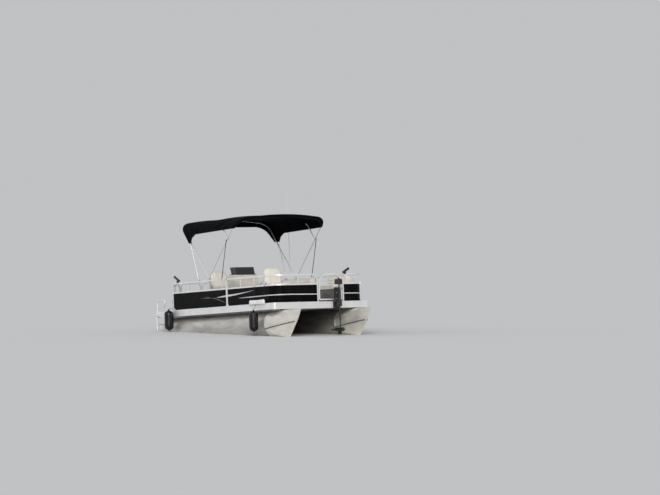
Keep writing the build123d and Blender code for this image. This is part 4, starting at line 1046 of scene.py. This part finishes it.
def thin_stripe(stops):
    """The sections of the thin stripe, which grows from a point and sinks a little past the corner."""
    sections, run, before = [], 0, stops[0][0]
    for spot, _ in stops:
        run += (spot - before).length
        before = spot
        middle = 0.9535 + 0.0155 * min(1, run / 1.9) - 0.02 * max(0, run - 2.2)
        half = 0.0015 + 0.0095 * min(1, run / 0.5)
        sections.append(flat_section(middle - half, middle + half, *decal_depths))
    return sections


def make_decals():
    """Plain sweeping stripes on the side panels, mirrored to port."""
    bright, dim = bmesh.new(), bmesh.new()
    sweep = ((-0.05, 1.003, 1.011), (0.2, 1.002, 1.032), (0.455, 1.007, 1.048), (0.72, 1.02, 1.056),
             (1.008, 1.043, 1.068), (1.35, 1.071, 1.084), (1.654, 1.101, 1.104))
    tail = ((-0.83, 1.008, 1.011), (-0.5, 1.003, 1.014), (-0.05, 0.998, 1.003))
    under = ((-0.6, 1.034, 1.042), (-0.2, 0.985, 1.0), (0.05, 0.94, 0.958), (0.353, 0.866, 0.873))
    for side in (-1, 1):
        for bm, stations in ((bright, sweep), (dim, tail), (dim, under)):
            xs, lows, highs = zip(*smooth_stations(stations))
            sections = [flat_section(low, high, *decal_depths) for low, high in zip(lows, highs)]
            add_strip(bm, side, side_path(xs, panel_face_y), sections)
        stops = bow_path(side, (0.95, 1.1, 1.3, 1.6, 1.9, 2.15), 0)
        add_strip(bright, side, stops, thin_stripe(stops))
    put_piece("panel_stripes", bright, "stripe")
    put_piece("panel_stripes_dim", dim, "tail")


def make_foot_trim():
    """Black trim over the low rail under the panels, broken at the joint posts."""
    bm = bmesh.new()
    for side in (-1, 1):
        bow = bow_path(side, (0.49, 1.0, 1.6), foot_trim_y - panel_face_y)
        for stops in (side_path((-2.03, -1.0, 0.37), foot_trim_y), bow):
            add_strip(bm, side, stops, [flat_section(*foot_trim)] * len(stops))
    put_piece("panel_foot_trim", bm, "panel", angle=30)


def add_rivet(bm, place, radius=0.0045, height=0.002):
    turns = [pi / 6 * i for i in range(3)]
    dome = [(radius * cos(a), height * sin(a)) for a in turns]
    add_lathe(bm, [(0, -0.0004), *dome, (0, height)], place, 10)


def make_rivets():
    """Pop rivets round the side panels, and screws along the edge band's groove."""
    panel, band = bmesh.new(), bmesh.new()
    groove_z = beam_level + 0.105
    for side in (-1, 1):
        for x0, x1 in rivet_spans:
            count = max(2, int((x1 - x0) / 0.2))
            for i in range(count + 1):
                for z in rivet_heights:
                    add_rivet(panel, at((x0 + (x1 - x0) * i / count, side * panel_face_y, z), side * Y))
        for i in range(17):
            spot = (-2.4 + i * screw_pitch, side * (deck_half_beam - 0.004), groove_z)
            add_rivet(band, at(spot, side * Y), *screw_size)
    for i in range(8):
        spot = (deck_half_length - 0.004, -1.05 + i * screw_pitch, groove_z)
        add_rivet(band, at(spot, X), *screw_size)
    put_piece("panel_rivets", panel, "panel")
    put_piece("band_screws", band, "steel")


def make_weld_beads():
    """Weld beads round the tubes, where their lengths, noses and end caps join."""
    bm = bmesh.new()
    radius = tube_radius + 0.0012
    turns = [2 * pi * i / 72 for i in range(72)]
    for y in (-pontoon_y, pontoon_y):
        for x in weld_xs:
            ring = [(x, y + radius * sin(a), pontoon_z - radius * cos(a)) for a in turns]
            add_sweep(bm, ring, 0.0045, 6, closed=True)
    put_piece("weld_beads", bm, "bare")


def make_helm():
    """Dials, switches, throttle and key on the console; none of them moves."""
    rims, faces, marks = bmesh.new(), bmesh.new(), bmesh.new()
    rim = [(0.029, -0.002), (0.036, -0.002), (0.036, 0.004), (0.033, 0.007), (0.03, 0.005), (0.029, 0.001)]
    for y in (-0.935, -0.845, -0.595, -0.505):
        place = along((0.23, y, 1.46), Y, Z - X)
        add_lathe(rims, rim, place, 32)
        add_lathe(faces, [(0, -0.001), (0.03, -0.001), (0.03, 0.002), (0, 0.002)], place, 32)
        for i in range(9):
            tick = place @ Matrix.Rotation(radians(-120 + 30 * i), 4, "Z")
            add_block(marks, (-0.0008, 0.021, 0.0018), (0.0008, 0.027, 0.0028), place=tick)
        needle = place @ Matrix.Rotation(radians(-70 + 200 * y), 4, "Z")
        add_block(marks, (-0.001, -0.004, 0.0018), (0.001, 0.02, 0.0032), place=needle)

    dash = Vector((0.09, 0, 0.29)).normalized()

    def on_dash(y, up):
        return along(Vector((0.1, y, 1.13)) + dash * up, Y, Vector((-dash.z, 0, dash.x)))

    switches = on_dash(-0.49, 0.16)
    add_plate(rims, (0.09, 0.13), 0.012, -0.001, 0.005, 0.002, switches)
    for y in (-0.04, 0, 0.04):
        for x in (-0.02, 0.02):
            add_block(rims, (x - 0.01, y - 0.015, 0.004), (x + 0.01, y + 0.015, 0.011), 0.003, switches)
    key = on_dash(-0.93, 0.13)
    add_lathe(rims, button(0.017, 0.004, 0.012, 0.008, -0.001), key, 24)
    add_block(rims, (-0.002, -0.013, 0.006), (0.002, 0.013, 0.03), 0.001, key)

    add_plate(rims, (0.13, 0.15), 0.03, -0.002, 0.045, 0.01, along((0.27, console_inner_y, 1.33), X, Y))
    lever_y = console_inner_y + 0.062
    lever = [(0.27, console_inner_y + 0.05, 1.33), (0.262, lever_y, 1.4), (0.25, lever_y, 1.47)]
    add_sweep(rims, lever, 0.009, 10)
    knob = [(0, 0), (0.016, 0.002), (0.019, 0.02), (0.016, 0.045), (0.009, 0.052), (0, 0.053)]
    add_lathe(rims, knob, at((0.251, lever_y, 1.462), (-0.15, 0, 1)), 20)
    put_piece("helm_controls", rims, "black")
    put_piece("helm_dials", faces, "dark")
    put_piece("helm_dial_marks", marks, "white")

    door = bmesh.new()
    add_plate(door, (0.42, 0.44), 0.04, -0.004, 0.006, 0.004, along((0.587, -0.73, 1.1), Y, X))
    add_plate(door, (0.34, 0.3), 0.03, -0.002, 0.006, 0.004, along((0.36, console_inner_y, 1.0), -X, Y))
    put_piece("console_doors", door, "moulded")

    trim = bmesh.new()
    path = ((0.505, -1.0), (0.515, -0.94), (0.515, -0.52), (0.505, -0.46))
    add_sweep(trim, [(x, y, console_top + 0.006) for x, y in path], 0.006, 8)
    for y in (-1.016, -0.452):
        add_block(trim, (0.28, y, console_top - 0.001), (0.5, y + 0.008, console_top + 0.012), 0.002)
    put_piece("screen_trim", trim, "black")


def make_outboard_trim():
    """The cowl's seal, vents and latch, placed on the upright motor and tilted with it."""
    pivot = Vector((motor_pivot[0], 0, motor_pivot[1]))
    turn = Matrix.Rotation(radians(motor_tilt), 4, "Y")
    place = Matrix.Translation(pivot) @ turn @ Matrix.Translation(-pivot)
    front_x = cowl_middle_x - 0.22
    dark, bright = bmesh.new(), bmesh.new()
    seal = [p + Vector((cowl_middle_x, 0)) for p in rounded_outline(0.432, 0.31, 0.09, 8)]
    path = [place @ Vector((*p, cowl_low_z + 0.002)) for p in resampled(seal)]
    add_sweep(dark, path, 0.007, 8, closed=True)
    for side in (-1, 1):
        for i in range(5):
            vent = along((front_x + 0.06, side * 0.157, cowl_low_z + 0.16 + i * 0.032), X, side * Y)
            add_plate(dark, (0.07, 0.012), 0.0055, -0.003, 0.002, 0.001, place @ vent, 4)
    latch = along((front_x + 0.002, 0, cowl_low_z + 0.03), Y, -X)
    add_plate(bright, (0.07, 0.045), 0.01, -0.002, 0.012, 0.003, place @ latch)
    put_piece("cowl_seal_and_vents", dark, "rubber", "outboard_steering")
    put_piece("cowl_latch", bright, "black", "outboard_steering")


def make_fenders():
    """Ribbed cylinder fenders with an eye at each end."""
    bm = bmesh.new()
    foot = (
        (0, 0.478), (0.018, 0.478), (0.03, 0.47), (0.036, 0.462), (0.07, 0.447), (0.092, 0.425),
        (0.103, 0.395),
    )
    head = (
        (0.103, 0.085), (0.092, 0.055), (0.07, 0.033), (0.036, 0.018), (0.026, 0.01), (0.018, -0.002),
        (0.018, -0.022), (0, -0.022),
    )
    ribs = []
    for i in range(11):
        under = 0.38 - i * 0.28 / 11
        ribs += [(0.1032, under), (0.1048, under - 0.006), (0.1048, under - 0.014), (0.1032, under - 0.02)]
    for x, top in zip(cleat_xs, fender_tops):
        profile = [(radius, top - under) for radius, under in (*foot, *ribs, *head)]
        add_lathe(bm, profile, Matrix.Translation((x, fender_y, 0)), 40)
    thing = put_piece("fenders_ribbed", bm, "fender")
    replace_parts(thing, "fenders")


def make_ladder_pads():
    """Ribbed rubber pads on the ladder's steps."""
    pads = bmesh.new()
    for i in range(4):
        z = 0.148 + i * 0.17333
        add_block(pads, (-2.975, -1.15, z - 0.0005), (-2.925, -0.866, z + 0.003), 0.001)
        for k in range(5):
            x = -2.969 + k * 0.0095
            add_block(pads, (x, -1.145, z + 0.002), (x + 0.004, -0.871, z + 0.0045))
    put_piece("ladder_step_pads", pads, "rubber", "ladder")


def make_flanges():
    """Collars at the feet of the handrails, and rims on the rod holders' tubes."""
    flanges = bmesh.new()
    collar = [(0.0155, 0), (0.034, 0), (0.034, 0.003), (0.028, 0.006), (0.018, 0.008), (0.0155, 0.012)]
    for y in handrail_ys:
        add_lathe(flanges, collar, Matrix.Translation((-2.598, y, band_top)))
    rim = (
        (0.022, 0.001), (0.0225, 0.004), (0.027, 0.005), (0.0285, 0.001), (0.0285, -0.01),
        (0.0262, -0.012),
    )
    for x, side, degrees in ((-1.9, -1, -65), (1.76, 1, 72)):
        lean = radians(degrees)
        way = Vector((sin(lean), 0, cos(lean)))
        middle = Vector((x, side * rail_half_beam, rail_clip_z))
        add_lathe(flanges, rim, along(middle + way * 0.157, way.cross(Y), way), 32)
    put_piece("tube_flanges", flanges, "black")


def make_bow_fittings():
    """Bolts on the trolling motor's tower, the cap on its head, and the bow gate's latch."""
    tower = bmesh.new()
    for y in (0.345, 0.415):
        for z in (0.85, 0.98):
            add_lathe(tower, button(0.009, 0.004, 0.006, 0.007, -0.001), at((2.749, y, z), X), 6)
    put_piece("trolling_tower_bolts", tower, "steel")
    knob = bmesh.new()
    dome = [(0, -0.002), (0.03, -0.002), (0.032, 0.004), (0.026, 0.012), (0.022, 0.024), (0, 0.026)]
    add_lathe(knob, dome, at((2.8, 0.38, 1.284)))
    add_plate(knob, (0.15, 0.09), 0.03, -0.001, 0.004, 0.002, Matrix.Translation((2.77, 0.38, 1.284)), 6)
    put_piece("trolling_head_cap", knob, "motor", "trolling_steering")

    latch = bmesh.new()
    add_block(latch, (2.592, 0.56, 1.06), (2.612, 0.6, 1.1), 0.003)
    lever = [(2.606, 0.575, 1.08), (2.618, 0.57, 1.08), (2.622, 0.54, 1.078), (2.622, 0.51, 1.072)]
    add_sweep(latch, lever, 0.005, 8)
    put_piece("gate_latch", latch, "steel", "bow_gate")


make_canopy()
make_straps()
made_cushions = cushion_meshes()
make_couches(made_cushions)
for seat_name, *seat_place in swivel_seats:
    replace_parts(make_seat(made_cushions, seat_name, *seat_place), seat_name)
make_side_pad(made_cushions)
make_decals()
make_foot_trim()
make_rivets()
make_weld_beads()
make_helm()
make_outboard_trim()
make_fenders()
make_ladder_pads()
make_flanges()
make_bow_fittings()


# Floor, light and camera

world_strength = 0.5
world_colour = (0.92, 0.95, 1, 1)
backdrop_colour = (0.53, 0.535, 0.54, 1)
floor_colour = (0.667, 0.667, 0.667)
floor_half_size = 400


def water_axes():
    """Forward and up of the water the boat floats on, in the boat's own frame."""
    trim = radians(bow_up_trim)
    return Vector((cos(trim), 0, -sin(trim))), Vector((sin(trim), 0, cos(trim)))


def add_floor():
    """A pale floor in the plane of the waterline, with the same colour to the horizon."""
    forward = water_axes()[0] * floor_half_size
    middle = Z * waterline_at_origin
    mesh = bpy.data.meshes.new("floor")
    corners = [middle + forward * x + Y * floor_half_size * y for x, y in square]
    mesh.from_pydata(corners, [], [(0, 1, 2, 3)])
    mesh.materials.append(plain("floor_look", floor_colour, 0.9, Specular_IOR_Level=0.0))
    new_object("floor", mesh)


def add_sun(name, direction, strength, spread, colour):
    """A soft lamp far off along a direction from the boat."""
    lamp = bpy.data.lights.new(name, "SUN")
    lamp.energy = strength
    lamp.angle = radians(spread)
    lamp.color = colour
    thing = new_object(name, lamp)
    thing.location = Vector(direction) * 10
    thing.rotation_mode = "QUATERNION"
    thing.rotation_quaternion = Vector(direction).to_track_quat("Z", "Y")


def add_world():
    """Plain light from all round, which camera, glossy and transmitted rays see as pale."""
    world = bpy.data.worlds.new("studio")
    bpy.context.scene.world = world
    world.use_nodes = True
    made = world.node_tree.nodes
    around = wire(world, made["Background"], Color=world_colour, Strength=world_strength)
    seen = wire(world, "Background", Color=backdrop_colour)
    rays = wire(world, "LightPath").outputs
    share = rays["Is Camera Ray"]
    for ray in ("Is Glossy Ray", "Is Transmission Ray"):
        share = math_node(world, "MAXIMUM", share, rays[ray])
    mix = wire(world, "MixShader", share, around.outputs[0], seen.outputs[0])
    wire(world, made["World Output"], Surface=mix.outputs[0])


def add_camera():
    """A long lens from off the starboard bow, level with the water that the boat floats on."""
    forward, up = water_axes()
    azimuth, elevation, roll = [radians(a) for a in (view_azimuth, view_elevation, camera_roll)]
    right = cos(azimuth) * forward + sin(azimuth) * Y
    away = -sin(azimuth) * forward + cos(azimuth) * Y
    ray = away * cos(elevation) - up * sin(elevation)
    above = up * cos(elevation) + away * sin(elevation)
    rolled = cos(roll) * right - sin(roll) * above
    right, above = rolled, sin(roll) * right + cos(roll) * above
    focal_pixels = pixels_per_metre * camera_distance
    across = aim_pixel[0] - image_width / 2
    down = aim_pixel[1] - image_height / 2
    seen = (right * across - above * down + ray * focal_pixels).normalized()
    turn = seen.rotation_difference(ray)
    axes = Matrix((turn @ right, turn @ above, turn @ -ray)).transposed()
    lens = bpy.data.cameras.new("camera")
    lens.sensor_width = sensor_width
    lens.lens = sensor_width * focal_pixels / image_width
    lens.clip_start = 1
    lens.clip_end = 2000
    camera = new_object("camera", lens)
    camera.matrix_world = Matrix.Translation(aim_point - ray * camera_distance) @ axes.to_4x4()
    bpy.context.scene.camera = camera


add_floor()
add_world()
add_sun("key", (0.82, -0.5, 0.42), 2.0, 28, (1, 0.98, 0.94))
add_sun("fill", (-0.6, -0.75, 0.5), 0.4, 60, (0.95, 0.97, 1))
add_camera()
bpy.context.scene.view_settings.view_transform = "Standard"
